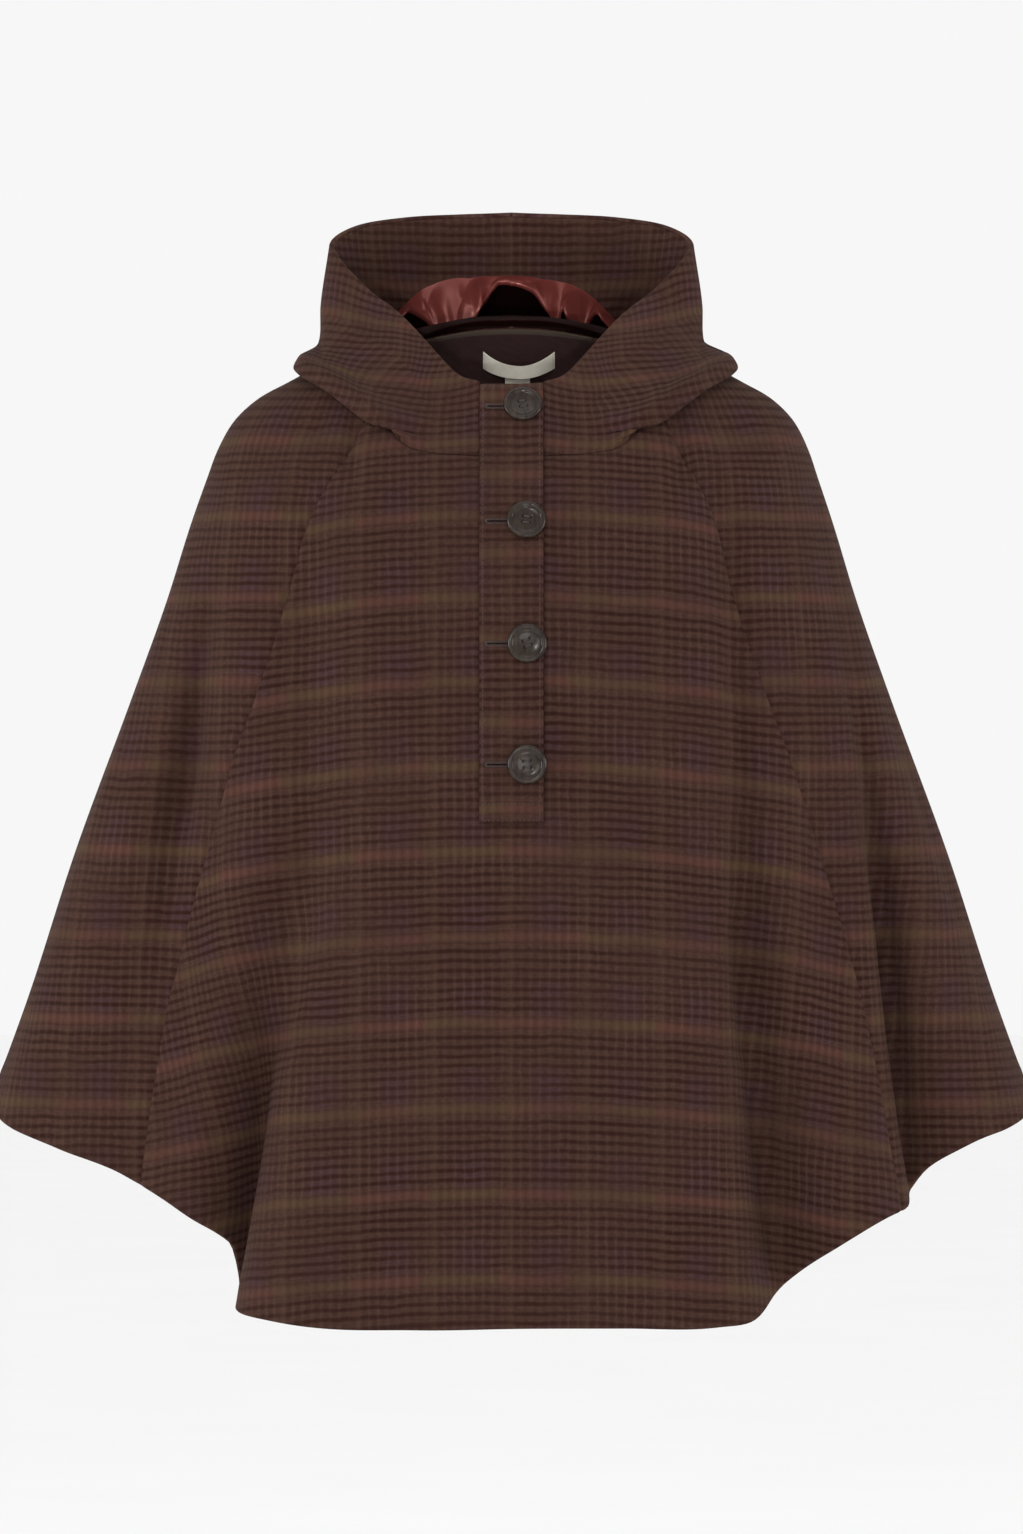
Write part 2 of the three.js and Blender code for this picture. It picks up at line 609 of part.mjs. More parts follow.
// Places inside the hood, from one front edge round to the other.
const roundDegs = [...halfDegs(-1), ...halfDegs(1).slice(0, -1).reverse()];
const onLeft = (deg) => deg > 0 || deg < -179.5;
const facingLift = WOOL_WALL / 2 + 3 * SEAM_GAP + LINING_WALL / 2;

function insidePlace(deg, k, lift) {
  const p = hoodWall(deg, k, -lift);
  return Math.abs(deg) > 179.5 ? [0, p[1], p[2]] : p;
}

function hoodFacing() {
  return clothSolid(FACED_ROWS.length, roundDegs.length, (r, c) => bothSides(
    LINING_WALL, (out) => insidePlace(roundDegs[c], FACED_ROWS[r], facingLift - out),
  ), () => true, (c) => onLeft(roundDegs[c]));
}

// The lining hangs off the facing and swells into the hood before it turns under.
const SWELL = [
  { deg: -180, by: 10 }, { deg: -165, by: 22 }, { deg: -150, by: 10 }, { deg: -135, by: 20 },
  { deg: -118, by: 8 }, { deg: -100, by: 14 }, { deg: -75, by: 2 }, { deg: -40, by: 0 },
  { deg: 40, by: 0 }, { deg: 75, by: 2 }, { deg: 98, by: 12 }, { deg: 115, by: 20 },
  { deg: 132, by: 8 }, { deg: 148, by: 24 }, { deg: 165, by: 14 }, { deg: 180, by: 10 },
];
const swellAt = column(SWELL, 'deg', 'by');

const LINING_ROWS = [0.02, 1, 2, 2.5, 3, 4, 5, 6, 7, 8, 9, 9.4, 9.7, FACING_MARK - 0.01];
const LINING_FROM_DEG = 82;
const LINING_REST = 0.8;

function hoodLining() {
  const degs = roundDegs.filter((deg) => Math.abs(deg) > LINING_FROM_DEG);
  return clothSolid(LINING_ROWS.length, degs.length, (r, c) => {
    const deg = degs[c];
    const mark = LINING_ROWS[r];
    const below = length(sub(hood(deg, FACING_MARK), hood(deg, mark)));
    const hangs = ease((mark - 7) / 1) * ease(below / 12);
    const swell = swellAt(deg) * Math.exp(-(((below - 26) / 18) ** 2)) * hangs;
    const rest = LINING_REST * ease((FACING_MARK - mark) * 3);
    return bothSides(LINING_WALL, (out) => insidePlace(deg, mark, facingLift + rest + swell - out));
  }, () => true, (c) => onLeft(degs[c]));
}

// The facing inside the back of the neck, under the label.
const NECK_FACING_ROWS = 4;
const neckFacingLift = WOOL_WALL / 2 + SEAM_GAP + LINING_WALL / 2;
function neckFacing() {
  const half = halfDegs(1).filter((deg) => deg > 97);
  const all = [...half, ...half.slice(0, -1).map((deg) => 360 - deg).reverse()];
  return clothSolid(NECK_FACING_ROWS, all.length, (r, c) => bothSides(
    LINING_WALL, (out) => bodyWall(wrap(all[c]), BODY_ROWS[r], out - neckFacingLift),
  ));
}

// A place on the neck facing, lifted off it towards the neck.
function onNeckFacing(x, down, lift) {
  const k = down / BODY_LENGTH;
  const off = neckFacingLift + LINING_WALL / 2 + SEAM_GAP + LABEL_WALL / 2 + lift;
  return bodyWall(degAtX(x, k, true), k, -off);
}

// The label bows away from the facing and sags between its sewn ends.
function labelSolid() {
  const columns = 10;
  const rows = 3;
  return clothSolid(rows, columns, (r, c) => bothSides(LABEL_WALL, (out) => {
    const u = (c / (columns - 1)) * 2 - 1;
    const down = LABEL_DOWN + LABEL_SAG * (1 - u * u) + (LABEL_HEIGHT * r) / (rows - 1);
    const bow = LABEL_BEND + LABEL_BOW * (1 - u * u);
    return onNeckFacing(LABEL_X + (u * LABEL_WIDTH) / 2, down, bow - out);
  }));
}

function tabSolid() {
  return clothSolid(3, 4, (r, c) => bothSides(LABEL_WALL, (out) => {
    const u = (c / 3) * 2 - 1;
    const down = TAB_DOWN + (TAB_HEIGHT * r) / 2;
    return onNeckFacing(TAB_X + (u * TAB_WIDTH) / 2, down, TAB_BEND - out);
  }));
}

function buttonSolid(n) {
  const radius = BUTTON_DIAMETER / 2;
  const t = BUTTON_THICK;
  const profile = [
    [0, 0], [radius * 0.78, 0], [radius * 0.95, t * 0.22], [radius, t * 0.5],
    [radius * 0.96, t * 0.85], [radius * 0.86, t], [radius * 0.74, t * 0.86],
    [radius * 0.5, t * 0.62], [0, t * 0.52],
  ].map(([x, y]) => new THREE.Vector2(x, y));
  const lathe = new THREE.LatheGeometry(profile, 24);
  const kernel = manifold.Manifold;
  let solid = new kernel(meshOf(lathe));
  for (const [x, y] of [[1, 1], [1, -1], [-1, 1], [-1, -1]]) {
    const hole = kernel.cylinder(t * 3, 1.1, 1.1, 6, true).rotate([90, 0, 0]);
    solid = solid.subtract(hole.translate([x * 2.3, 0, y * 2.3]));
  }
  const mesh = solid.getMesh();
  const up = BUTTON_HEIGHTS[n];
  const x = BUTTON_X[n];
  const { normal } = placketAtHeight(x, up);
  const lift = overLift + WOOL_WALL / 2 + SEAM_GAP + 0.6;
  const p = placketPoint(x, up, lift);
  const turn = new THREE.Quaternion().setFromUnitVectors(
    new THREE.Vector3(0, 1, 0),
    new THREE.Vector3(Math.sin(rad(BUTTON_TILT[n])) * 0.3, normal[1], normal[2]).normalize(),
  );
  const points = [];
  for (let i = 0; i < mesh.numVert; i += 1) {
    const v = new THREE.Vector3(...mesh.vertProperties.slice(3 * i, 3 * i + 3));
    v.applyQuaternion(turn);
    points.push([v.x + p[0], v.y + p[1], v.z + p[2]]);
  }
  const faces = [];
  for (let i = 0; i < mesh.numTri; i += 1) {
    faces.push([...mesh.triVerts.slice(3 * i, 3 * i + 3)]);
  }
  return outward(points, faces);
}

// The kernel's mesh of a three.js geometry, with shared points joined.
function meshOf(geometry) {
  const position = geometry.getAttribute('position');
  const keys = new Map();
  const flat = [];
  const place = [];
  for (let i = 0; i < position.count; i += 1) {
    const p = [position.getX(i), position.getY(i), position.getZ(i)].map((c) => Math.round(c * 1e5) / 1e5);
    const key = p.map((c) => (c === 0 ? 0 : c)).join(',');
    if (!keys.has(key)) {
      keys.set(key, flat.length / 3);
      flat.push(...p);
    }
    place.push(keys.get(key));
  }
  const index = [...geometry.getIndex().array].map((i) => place[i]);
  const faces = [];
  for (let i = 0; i < index.length; i += 3) {
    const [a, b, c] = index.slice(i, i + 3);
    if (a !== b && b !== c && c !== a) {
      faces.push([a, b, c]);
    }
  }
  const points = [];
  for (let i = 0; i < flat.length; i += 3) {
    points.push(flat.slice(i, i + 3));
  }
  const tidy = outward(points, faces);
  const mesh = new manifold.Mesh({
    numProp: 3,
    vertProperties: new Float32Array(tidy.getAttribute('position').array),
    triVerts: new Uint32Array(tidy.getIndex().array),
  });
  return mesh;
}

function piece(name, geometry, colour, roughness) {
  const material = new THREE.MeshStandardMaterial({
    color: colour, roughness, metalness: 0,
  });
  const mesh = new THREE.Mesh(geometry, material);
  mesh.name = name;
  return mesh;
}

const cape = new THREE.Group();
cape.name = 'cape';
const wool = (name, geometry) => cape.add(piece(name, geometry, COLOURS.wool, 0.95));

wool('front_panel', frontPanel());
wool('side_front_left', bodyPanel(raglanAt, () => OVERARM_DEG, SIDE_FRONT_SHARES));
wool('side_front_right', bodyPanel(
  () => -OVERARM_DEG, (k) => -raglanAt(k), SIDE_FRONT_SHARES.map((s) => 1 - s).reverse(),
));
wool('side_back_left', bodyPanel(() => OVERARM_DEG, () => BACK_RAGLAN_DEG, SIDE_BACK_SHARES));
wool('side_back_right', bodyPanel(
  () => -BACK_RAGLAN_DEG, () => -OVERARM_DEG, SIDE_BACK_SHARES.map((s) => 1 - s).reverse(),
));
wool('back_panel', bodyPanel(
  () => BACK_RAGLAN_DEG, () => 360 - BACK_RAGLAN_DEG, BACK_SHARES,
));
wool('hood_left', hoodSide(1));
wool('hood_right', hoodSide(-1));
wool('hood_facing', hoodFacing());
cape.add(piece('hood_lining', hoodLining(), COLOURS.satin, 0.35));
cape.add(piece('neck_facing', neckFacing(), COLOURS.brown, 0.8));
cape.add(piece('label', labelSolid(), COLOURS.ivory, 0.6));
cape.add(piece('size_tab', tabSolid(), COLOURS.ivory, 0.6));
wool('placket_over', placketOver());
wool('placket_under', placketUnder());
BUTTON_HEIGHTS.forEach((_, n) => {
  cape.add(piece(`button_${n + 1}`, buttonSolid(n), COLOURS.horn, 0.3));
});

export default cape;
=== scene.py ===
"""Hooded tweed cape, dressed over its solids. Sizes here are in millimetres, in
the frame of the solids, and become metres where a mesh is made."""

import math

import bmesh
import bpy
import numpy as np
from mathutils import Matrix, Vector


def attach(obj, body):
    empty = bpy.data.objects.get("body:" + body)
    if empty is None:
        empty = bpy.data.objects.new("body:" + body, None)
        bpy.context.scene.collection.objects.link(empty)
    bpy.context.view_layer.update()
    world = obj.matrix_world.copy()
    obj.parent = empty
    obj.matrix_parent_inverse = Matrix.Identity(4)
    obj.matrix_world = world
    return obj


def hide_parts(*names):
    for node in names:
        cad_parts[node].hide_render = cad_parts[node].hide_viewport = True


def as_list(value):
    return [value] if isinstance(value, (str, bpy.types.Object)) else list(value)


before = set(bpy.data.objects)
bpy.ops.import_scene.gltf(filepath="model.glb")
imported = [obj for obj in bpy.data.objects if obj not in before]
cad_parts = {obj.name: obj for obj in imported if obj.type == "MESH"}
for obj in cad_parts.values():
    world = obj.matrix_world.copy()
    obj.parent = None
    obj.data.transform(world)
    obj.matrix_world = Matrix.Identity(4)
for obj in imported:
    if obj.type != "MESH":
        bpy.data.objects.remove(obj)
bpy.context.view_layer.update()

# The garment
WOOL_WALL = 2.0
SEAM_GAP = 0.3
SEWN_GAP = 0.02
PLACKET_WIDTH = 45
PLACKET_BOX = 15
PLACKET_FOOT_UP = -318
BUTTON_HEIGHTS = (-38, -120.5, -206.5, -291.5)
BUTTON_X = (8, 10.5, 11, 11)
BUTTON_TILT = (6, 0, 2, -2)
BUTTON_DIAMETER = 28
BUTTON_THICK = 4.6
HOLE_LEFT = -17
HOLE_LENGTH = 31
HOLE_OPEN = 1.6
PURL_OFF = 0.45
FACING_WIDTH = 48
BODY_LENGTH = 700
BACK_RAGLAN_DEG = 136
OVERARM_DEG = 90

# Lines from neck to hem: distance out from the neck's axis, and height.
SIDE_LINE = [
    (82, 13), (110, 5), (140, -5), (163, -17), (185, -29.5), (200, -44), (211.5, -65),
    (219, -86), (229, -115), (247, -173), (272.5, -245), (312, -353), (347, -461), (374, -535),
]
FRONT_LINE = [
    (66, -43), (78, -58), (98, -88), (114, -125), (126, -175), (134, -235), (141, -330),
    (147, -440), (153, -560), (158, -685),
]
BACK_LINE = [
    (66, 27), (84, 10), (102, -18), (116, -55), (126, -105), (133, -165), (139, -260),
    (144, -370), (148, -490), (152, -690),
]
# Share of the way down, and the sideways hang there.
SWAY = [(0, 2), (0.12, 3), (0.25, 1), (0.45, 0), (1, 0)]
# Share of the way down, squareness of the level, and how it falls to the middle.
PLAN = [(0, 2.3, 2.0), (0.3, 2.2, 1.9), (0.7, 1.95, 1.7), (1, 1.85, 1.6)]
# Azimuth and height of the neck seam.
NECKLINE = [
    (0, -72), (14, -71.5), (22, -70), (30, -65.5), (38, -52), (47, -34), (60, -12), (75, 3),
    (90, 10), (110, 17), (135, 23), (180, 27),
]
# Azimuth and height of the hem.
HEM = [
    (-180, -688), (-160, -672), (-148, -640), (-138, -600), (-128, -572), (-110, -546),
    (-90, -533), (-80, -538), (-70, -550), (-60, -563), (-50, -581), (-45, -598), (-42, -612),
    (-39, -624), (-37.5, -631), (-36, -648), (-34.5, -667), (-33, -673), (-30, -676),
    (-27, -679), (-24, -683), (-12, -686), (0, -685), (14, -685), (24, -685), (29, -680),
    (32, -668), (35, -655), (39, -636), (46, -609), (51, -601), (54, -592), (57, -576),
    (62, -560), (70, -549), (80, -539), (90, -533), (110, -546), (128, -572), (138, -600),
    (148, -640), (160, -672), (180, -688),
]
# Folds: azimuth at neck and hem, half width, depth, lean, start and full share.
FOLDS = [
    (-31, -35, 5.6, 55, -22, 0.5, 0.98),
    (-22, -25, 7, -9, 0, 0.55, 1),
    (-69, -48, 7, 14, 0, 0.28, 0.6),
    (-76, -72, 9, -6, 0, 0.4, 1),
    (35, 34, 5.4, 36, 6, 0.34, 1),
    (43, 42, 6, -7, 0, 0.6, 1),
    (74, 54, 4.8, 30, 8, 0.42, 0.92),
    (80, 72, 9, -5, 0, 0.5, 1),
    (4, 6, 9, 4, 0, 0.55, 0.9),
    (122, 124, 6, 26, 0, 0.45, 1),
    (152, 150, 7, 30, 0, 0.4, 1),
    (174, 176, 6, 22, 0, 0.5, 1),
    (-158, -156, 7, 32, 0, 0.42, 1),
    (-128, -130, 6.5, 24, 0, 0.5, 1),
]
# Hood by azimuth: cloth lying on the body, roll, wall out, wall up, rim azimuth,
# rim out, rim up.
HOOD = [
    (12, 0, 6, 77, -45, 23, 62, -20),
    (22, 0, 7, 81, -38, 40, 62, -13),
    (30, 3, 8, 90, -25, 55, 65, 1),
    (38, 10, 9, 104, -8, 67, 71, 15),
    (47, 20, 9, 117, 2, 79, 82, 31),
    (60, 40, 9, 131, 10, 91, 103, 49),
    (75, 58, 8.5, 138, 12, 99, 127, 73),
    (90, 65, 8.5, 139, 14, 107, 137, 85.5),
    (110, 70, 13, 144, 23, 119, 131, 98.5),
    (135, 124, 27, 154, 26, 137, 115, 106.5),
    (160, 188, 36, 160, 14, 158, 102, 109.5),
    (180, 208, 38, 162, 8, 180, 96, 111),
]
# Share of the way down and azimuth of the front raglan seam.
FRONT_RAGLAN = [
    (0, 47), (0.08, 42.2), (0.2, 42.4), (0.38, 45), (0.5, 48), (0.62, 50), (0.75, 50.5), (1, 48),
]

# Small creases pressed into the body: azimuth and share from neck at one end,
# the same at the other, half width and depth. A ridge has a depth below nothing.
CREASES = [
    (-52, 0.02, -60, 0.20, 11, 2.4), (-40, 0.04, -46, 0.17, 8, 1.6),
    (-34, 0.05, -30, 0.19, 9, -1.8), (50, 0.02, 60, 0.17, 11, 2.0),
    (38, 0.05, 45, 0.20, 8, 1.8), (33, 0.04, 29, 0.16, 10, -1.5),
    (-39, 0.17, -32, 0.46, 18, 8), (-33, 0.40, -29, 0.70, 17, 10), (-64, 0.36, -53, 0.75, 10, 10),
    (-49, 0.44, -46, 0.86, 22, 8), (-80, 0.35, -76, 0.80, 13, -2.2),
    (44, 0.12, 38, 0.42, 11, 8), (39, 0.33, 34, 0.72, 10, 9), (34, 0.60, 34, 0.96, 10, 6),
    (52, 0.44, 44, 0.90, 24, 9), (67, 0.48, 55, 0.98, 10, 11),
    (-34, 0.055, -15, 0.075, 6, 2.2), (-42, 0.09, -47, 0.17, 7, 2.0),
    (52, 0.03, 34, 0.10, 7, 3.5), (-50, 0.03, -34, 0.09, 7, 3.0),
    (-58, 0.45, -62, 0.85, 12, 2.2), (74, 0.26, 66, 0.60, 16, 2.8),
    (62, 0.42, 64, 0.80, 12, -2.4), (80, 0.48, 77, 0.86, 13, 2.0),
    (-24, 0.28, -27, 0.55, 14, 1.8), (-14, 0.60, -16, 0.96, 15, 2.0),
    (24, 0.30, 27, 0.56, 14, 1.6), (14, 0.62, 17, 0.97, 14, 1.8),
    (-3, 0.66, -4, 0.98, 18, 1.6), (-9, 0.08, -15, 0.26, 12, 1.0),
    (11, 0.08, 16, 0.24, 12, 1.0), (-41, 0.34, -45, 0.55, 9, 1.5),
    (41, 0.30, 44, 0.52, 9, 1.5), (100, 0.05, 108, 0.30, 14, 2.4),
    (-102, 0.05, -110, 0.32, 14, 2.2), (112, 0.40, 116, 0.80, 13, 2.4),
    (-115, 0.38, -118, 0.82, 13, -2.2), (138, 0.36, 142, 0.75, 14, 2.0),
    (-142, 0.34, -146, 0.72, 14, 2.2), (162, 0.45, 164, 0.92, 15, -2.2),
    (-170, 0.40, -172, 0.90, 15, 2.2), (180, 0.34, 182, 0.62, 16, 1.6),
]
# The same for the hood, by azimuth and mark.
HOOD_CREASES = [
    (26, 3.0, 44, 8.2, 7, 1.6), (34, 6.0, 52, 9.4, 6, -1.4), (58, 7.6, 74, 9.8, 7, 1.6),
    (-27, 3.0, -46, 8.2, 7, 1.8), (-36, 6.2, -54, 9.4, 6, -1.2), (-60, 7.6, -78, 9.6, 7, 1.4),
    (86, 7.4, 96, 9.6, 9, 2.0), (-84, 7.4, -98, 9.6, 9, 1.9), (118, 7.0, 128, 9.0, 10, 1.9),
    (-122, 7.0, -131, 9.2, 10, 1.8), (142, 7.0, 150, 8.8, 11, 1.8), (-148, 7.0, -156, 9.0, 11, 1.9),
]


def mix(a, b, k):
    return a + (b - a) * k


def ease(k):
    k = np.clip(k, 0, 1)
    return k * k * (3 - 2 * k)


def norm(v):
    return np.sqrt((v * v).sum(-1, keepdims=True))


def unit(v):
    return v / np.maximum(norm(v), 1e-9)


def through(xs, ys):
    """A smooth line through the points of a table, by its first column."""
    xs, ys = np.asarray(xs, float), np.asarray(ys, float)
    step = np.diff(xs)
    rise = np.diff(ys) / step
    slope = np.empty_like(ys)
    slope[0], slope[-1] = rise[0], rise[-1]
    slope[1:-1] = (rise[:-1] * step[1:] + rise[1:] * step[:-1]) / (step[1:] + step[:-1])

    def line(x):
        i = np.clip(np.searchsorted(xs, x, side="left") - 1, 0, len(xs) - 2)
        h = step[i]
        k = np.clip((x - xs[i]) / h, 0, 1)
        k2, k3 = k * k, k * k * k
        return (
            ys[i] * (2 * k3 - 3 * k2 + 1) + ys[i + 1] * (3 * k2 - 2 * k3)
            + h * (slope[i] * (k3 - 2 * k2 + k) + slope[i + 1] * (k3 - k2))
        )

    return line


def column(rows, n):
    return through([r[0] for r in rows], [r[n] for r in rows])


def along(points):
    """A line of points gone along by the share of its length, and the shares."""
    points = np.asarray(points, float)
    at = np.concatenate([[0], np.cumsum(norm(np.diff(points, axis=0))[:, 0])])
    shares = at / at[-1]
    parts = [through(shares, points[:, c]) for c in range(points.shape[1])]
    return (lambda k: np.stack([f(k) for f in parts], -1)), shares


side_line, front_line, back_line = (along(t)[0] for t in (SIDE_LINE, FRONT_LINE, BACK_LINE))
square_at, fall_at = column(PLAN, 1), column(PLAN, 2)
sway_at, neck_up_at, hem_at = column(SWAY, 1), column(NECKLINE, 1), column(HEM, 1)
raglan_at = column(FRONT_RAGLAN, 1)
HOOD_LINES = [column(HOOD, n) for n in range(1, 8)]


def wrap(deg):
    return (deg + 180) % 360 - 180


def plain_body(deg, share):
    s, c = np.sin(np.radians(deg)), np.cos(np.radians(deg))
    side = side_line(share)
    end = np.where((c >= 0)[..., None], front_line(share), back_line(share))
    power = 2 / square_at(share)
    sx, cy = np.abs(s) ** power, np.abs(c) ** power
    return np.stack([
        np.sign(s) * side[..., 0] * sx + sway_at(share) * sx,
        -np.sign(c) * end[..., 0] * cy,
        end[..., 1] + (side[..., 1] - end[..., 1]) * sx ** fall_at(share),
    ], -1)


def body(degrees, share):
    """The middle of the cloth at an azimuth and a share of the way to the hem."""
    deg, share = np.broadcast_arrays(wrap(np.asarray(degrees, float)), np.asarray(share, float))
    p = plain_body(deg, share)
    drop = hem_at(deg) - plain_body(deg, np.ones_like(share))[..., 2]
    p[..., 2] += drop * ease((share - 0.25) / 0.75) * share
    depth, lean = np.zeros_like(deg), np.zeros_like(deg)
    for neck, hem, half, deep, over, start, full in FOLDS:
        u = wrap(deg - mix(neck, hem, share)) / half
        grown = ease((share - start) / (full - start)) * (np.abs(u) < 4)
        depth += grown * deep * np.exp(-u * u)
        way = -1 if over < 0 else 1
        lean += grown * over * (np.exp(-((u + way) ** 2)) - 0.6 * np.exp(-((u - way) ** 2)))
    ahead = plain_body(deg + 0.5, share) - plain_body(deg - 0.5, share)
    tangent = unit(ahead[..., :2])
    p[..., 0] += -tangent[..., 1] * depth + tangent[..., 0] * lean
    p[..., 1] += tangent[..., 0] * depth + tangent[..., 1] * lean
    return p


def where_falls(low, high, line, value):
    """Where a falling line passes a value, for arrays of lines at once."""
    low = np.zeros_like(value) + low
    high = np.zeros_like(value) + high
    for _ in range(36):
        middle = (low + high) / 2
        above = line(middle) > value
        low, high = np.where(above, middle, low), np.where(above, high, middle)
    return (low + high) / 2


WHOLE_DEGS = np.arange(181.0)
neck_share_at = through(WHOLE_DEGS, where_falls(
    0, 0.3, lambda k: plain_body(WHOLE_DEGS, k)[..., 2], neck_up_at(WHOLE_DEGS)))


def from_neck(deg, k):
    return body(deg, mix(neck_share_at(np.abs(wrap(np.asarray(deg, float)))), 1, k))


def normal_of(surface, u, v, du, dv):
    across = surface(u + du, v) - surface(u - du, v)
    down = surface(u, v + dv) - surface(u, v - dv)
    return unit(np.cross(down, across))


def body_normal(deg, k):
    return normal_of(from_neck, np.asarray(deg, float), np.maximum(0.001, k), 0.05, 0.0005)


def body_wall(deg, k, out):
    return from_neck(deg, k) + body_normal(deg, k) * np.asarray(out, float)[..., None]


def deg_at_x(x, k, behind=False):
    """Azimuth at which the body is a given distance from its middle line."""
    k = np.asarray(k, float)
    side = -1 if x < 0 else 1

    def round_to(deg):
        return side * (180 - deg if behind else deg)

    return round_to(where_falls(
        0, 60, lambda d: -np.abs(from_neck(round_to(d), k)[..., 0]), np.zeros_like(k) - abs(x)))


SLOT_HALF = PLACKET_WIDTH / 2 + SEAM_GAP
PLACKET_DEGS = {1: float(deg_at_x(SLOT_HALF, 0.0)), -1: -float(deg_at_x(-SLOT_HALF, 0.0))}
SLOT_K = float(where_falls(
    0.2, 0.7, lambda k: from_neck(0.0, k)[..., 2], np.array(float(PLACKET_FOOT_UP))))
RIM_MARK = 11


def hood_points(degrees):
    """Twelve places on the hood's line for each azimuth, from neck seam to rim."""
    side = np.where(degrees < 0, -1.0, 1.0)
    at = np.minimum(179.99, np.abs(degrees))
    deg = side * at
    lies, roll, wall_out, wall_up, rim_at, rim_out, rim_up = (f(at) for f in HOOD_LINES)
    seam = from_neck(deg, 0.0)
    seam_at = np.degrees(np.arctan2(np.abs(seam[..., 0]), -seam[..., 1]))

    def in_plane(angle, out, up):
        a = np.radians(angle)
        return np.stack([side * out * np.sin(a), -out * np.cos(a), up], -1)

    def on_body(distance, lift):
        return body_wall(deg, np.maximum(0, distance) / BODY_LENGTH, lift)

    down = unit(from_neck(deg, 0.01) - seam)
    start = seam - down * SEWN_GAP
    wall = in_plane(mix(seam_at, rim_at, 0.62), wall_out, wall_up)
    rim = in_plane(rim_at, rim_out, rim_up)
    clear = 4 + 2 * ease((at - 92) / 26)
    above = on_body(lies - roll * 0.1, clear + roll)
    outside = unit(np.concatenate([wall[..., :2], norm(wall) * 0.15], -1))
    faced = np.minimum(0.6, FACING_WIDTH / norm(wall - rim))
    swell = (0.08 * ease((at - 110) / 50))[..., None] * norm(above - wall)
    laid_down = np.stack([
        start,
        start - down * 5 + body_normal(deg, 0.0) * 2.5,
        on_body(np.full_like(at, 4), clear + 1),
        on_body(lies * 0.28, clear),
        on_body(lies * 0.64, clear),
        on_body(lies - roll * 0.15, clear + roll * 0.12),
        on_body(lies + roll * 0.45, clear + roll * 0.5),
        above,
        mix(above, wall, 0.5) + outside * swell,
        wall,
        mix(rim, wall, faced) + outside * 2,
        rim,
    ], 1)
    laid = ease(lies / 8)
    placket = np.where(side < 0, PLACKET_DEGS[-1], PLACKET_DEGS[1])
    upright = 1 - ease((at - placket) / 9)
    made = np.empty_like(laid_down)
    for n in range(len(degrees)):
        stand, _ = along([start[n], wall[n], rim[n]])
        for i in range(12):
            straight = stand(1.0 if i == RIM_MARK else i * 0.05)
            made[n, i] = mix(straight, laid_down[n, i], 0 if i == 0 else laid[n])
            made[n, i, 0] = mix(made[n, i, 0], side[n] * SLOT_HALF, upright[n])
    return made


def hood_grid(degrees, marks):
    """The middle of the hood's cloth, a row for each mark and a column for each azimuth."""
    marks = np.asarray(marks, float)
    whole = np.clip(np.floor(marks).astype(int), 0, RIM_MARK - 1)
    columns = []
    for points in hood_points(np.asarray(degrees, float)):
        line, shares = along(points)
        columns.append(line(mix(shares[whole], shares[whole + 1], marks - whole)))
    return np.stack(columns, 1)


def grid_normals(p):
    """Normals of a grid of places, from its own rows and columns."""
    return unit(np.cross(np.gradient(p, axis=0), np.gradient(p, axis=1)))


def run(p, axis):
    """Distance gone along the rows or columns of a grid of places."""
    step = norm(np.diff(p, axis=axis))[..., 0]
    return np.concatenate([np.zeros_like(step.take([0], axis)), np.cumsum(step, axis)], axis)


def pressed(x, y, creases, to_mm):
    """How far the small creases lift the cloth at a place, out being positive."""
    lift = np.zeros(np.broadcast(x, y).shape)
    for x0, y0, x1, y1, half, depth in creases:
        sx, sy = to_mm((x0 + x1) / 2, (y0 + y1) / 2)
        dx, dy = (x1 - x0) * sx, (y1 - y0) * sy
        px, py = wrap(x - x0) * sx, (y - y0) * sy
        k = np.clip((px * dx + py * dy) / (dx * dx + dy * dy), 0, 1)
        off = np.hypot(px - k * dx, py - k * dy)
        lift -= depth * np.exp(-((off / half) ** 2)) * np.sin(np.pi * np.clip(k, 0.06, 0.94)) ** 0.7
    return lift


def body_to_mm(deg, k):
    return math.radians(1) * mix(85, 300, k), 650


def hood_to_mm(deg, mark):
    return math.radians(1) * 130, 16


# Meshes
def uneven(n, seam=(0.004, 0.010, 0.022)):
    """Shares from 0 to 1 that are close together beside the two seams."""
    inner = np.linspace(seam[-1], 1 - seam[-1], n)[1:-1]
    return np.concatenate([[0], seam, inner, [1 - s for s in reversed(seam)], [1]])


def placed(name, mesh):
    obj = bpy.data.objects.new(name, mesh)
    bpy.context.collection.objects.link(obj)
    return obj


def sheet_mesh(name, points, uv, keep=None):
    """A mesh of quads over a grid of places in millimetres, facing out."""
    rows, cols = points.shape[:2]
    r, c = (a.ravel() for a in np.meshgrid(np.arange(rows - 1), np.arange(cols - 1), indexing="ij"))
    if keep is not None:
        chosen = keep(r, c)
        r, c = r[chosen], c[chosen]
    first = r * cols + c
    quads = np.stack([first, first + cols, first + cols + 1, first + 1], 1)
    used, back = np.unique(quads, return_inverse=True)
    quads = back.reshape(quads.shape)
    mesh = bpy.data.meshes.new(name)
    flat = points.reshape(-1, 3)[used] * 0.001
    mesh.from_pydata(flat.tolist(), [], quads.tolist())
    layer = mesh.uv_layers.new(name="Cloth")
    layer.data.foreach_set("uv", (uv.reshape(-1, 2)[used][quads.ravel()] * 0.001).ravel())
    mesh.polygons.foreach_set("use_smooth", [True] * len(mesh.polygons))
    mesh.validate()
    return placed(name, mesh)


def turned_out(points, centre):
    """Whether a grid's normals point away from a centre."""
    return (grid_normals(points) * (points - centre)).sum(-1).mean() >= 0


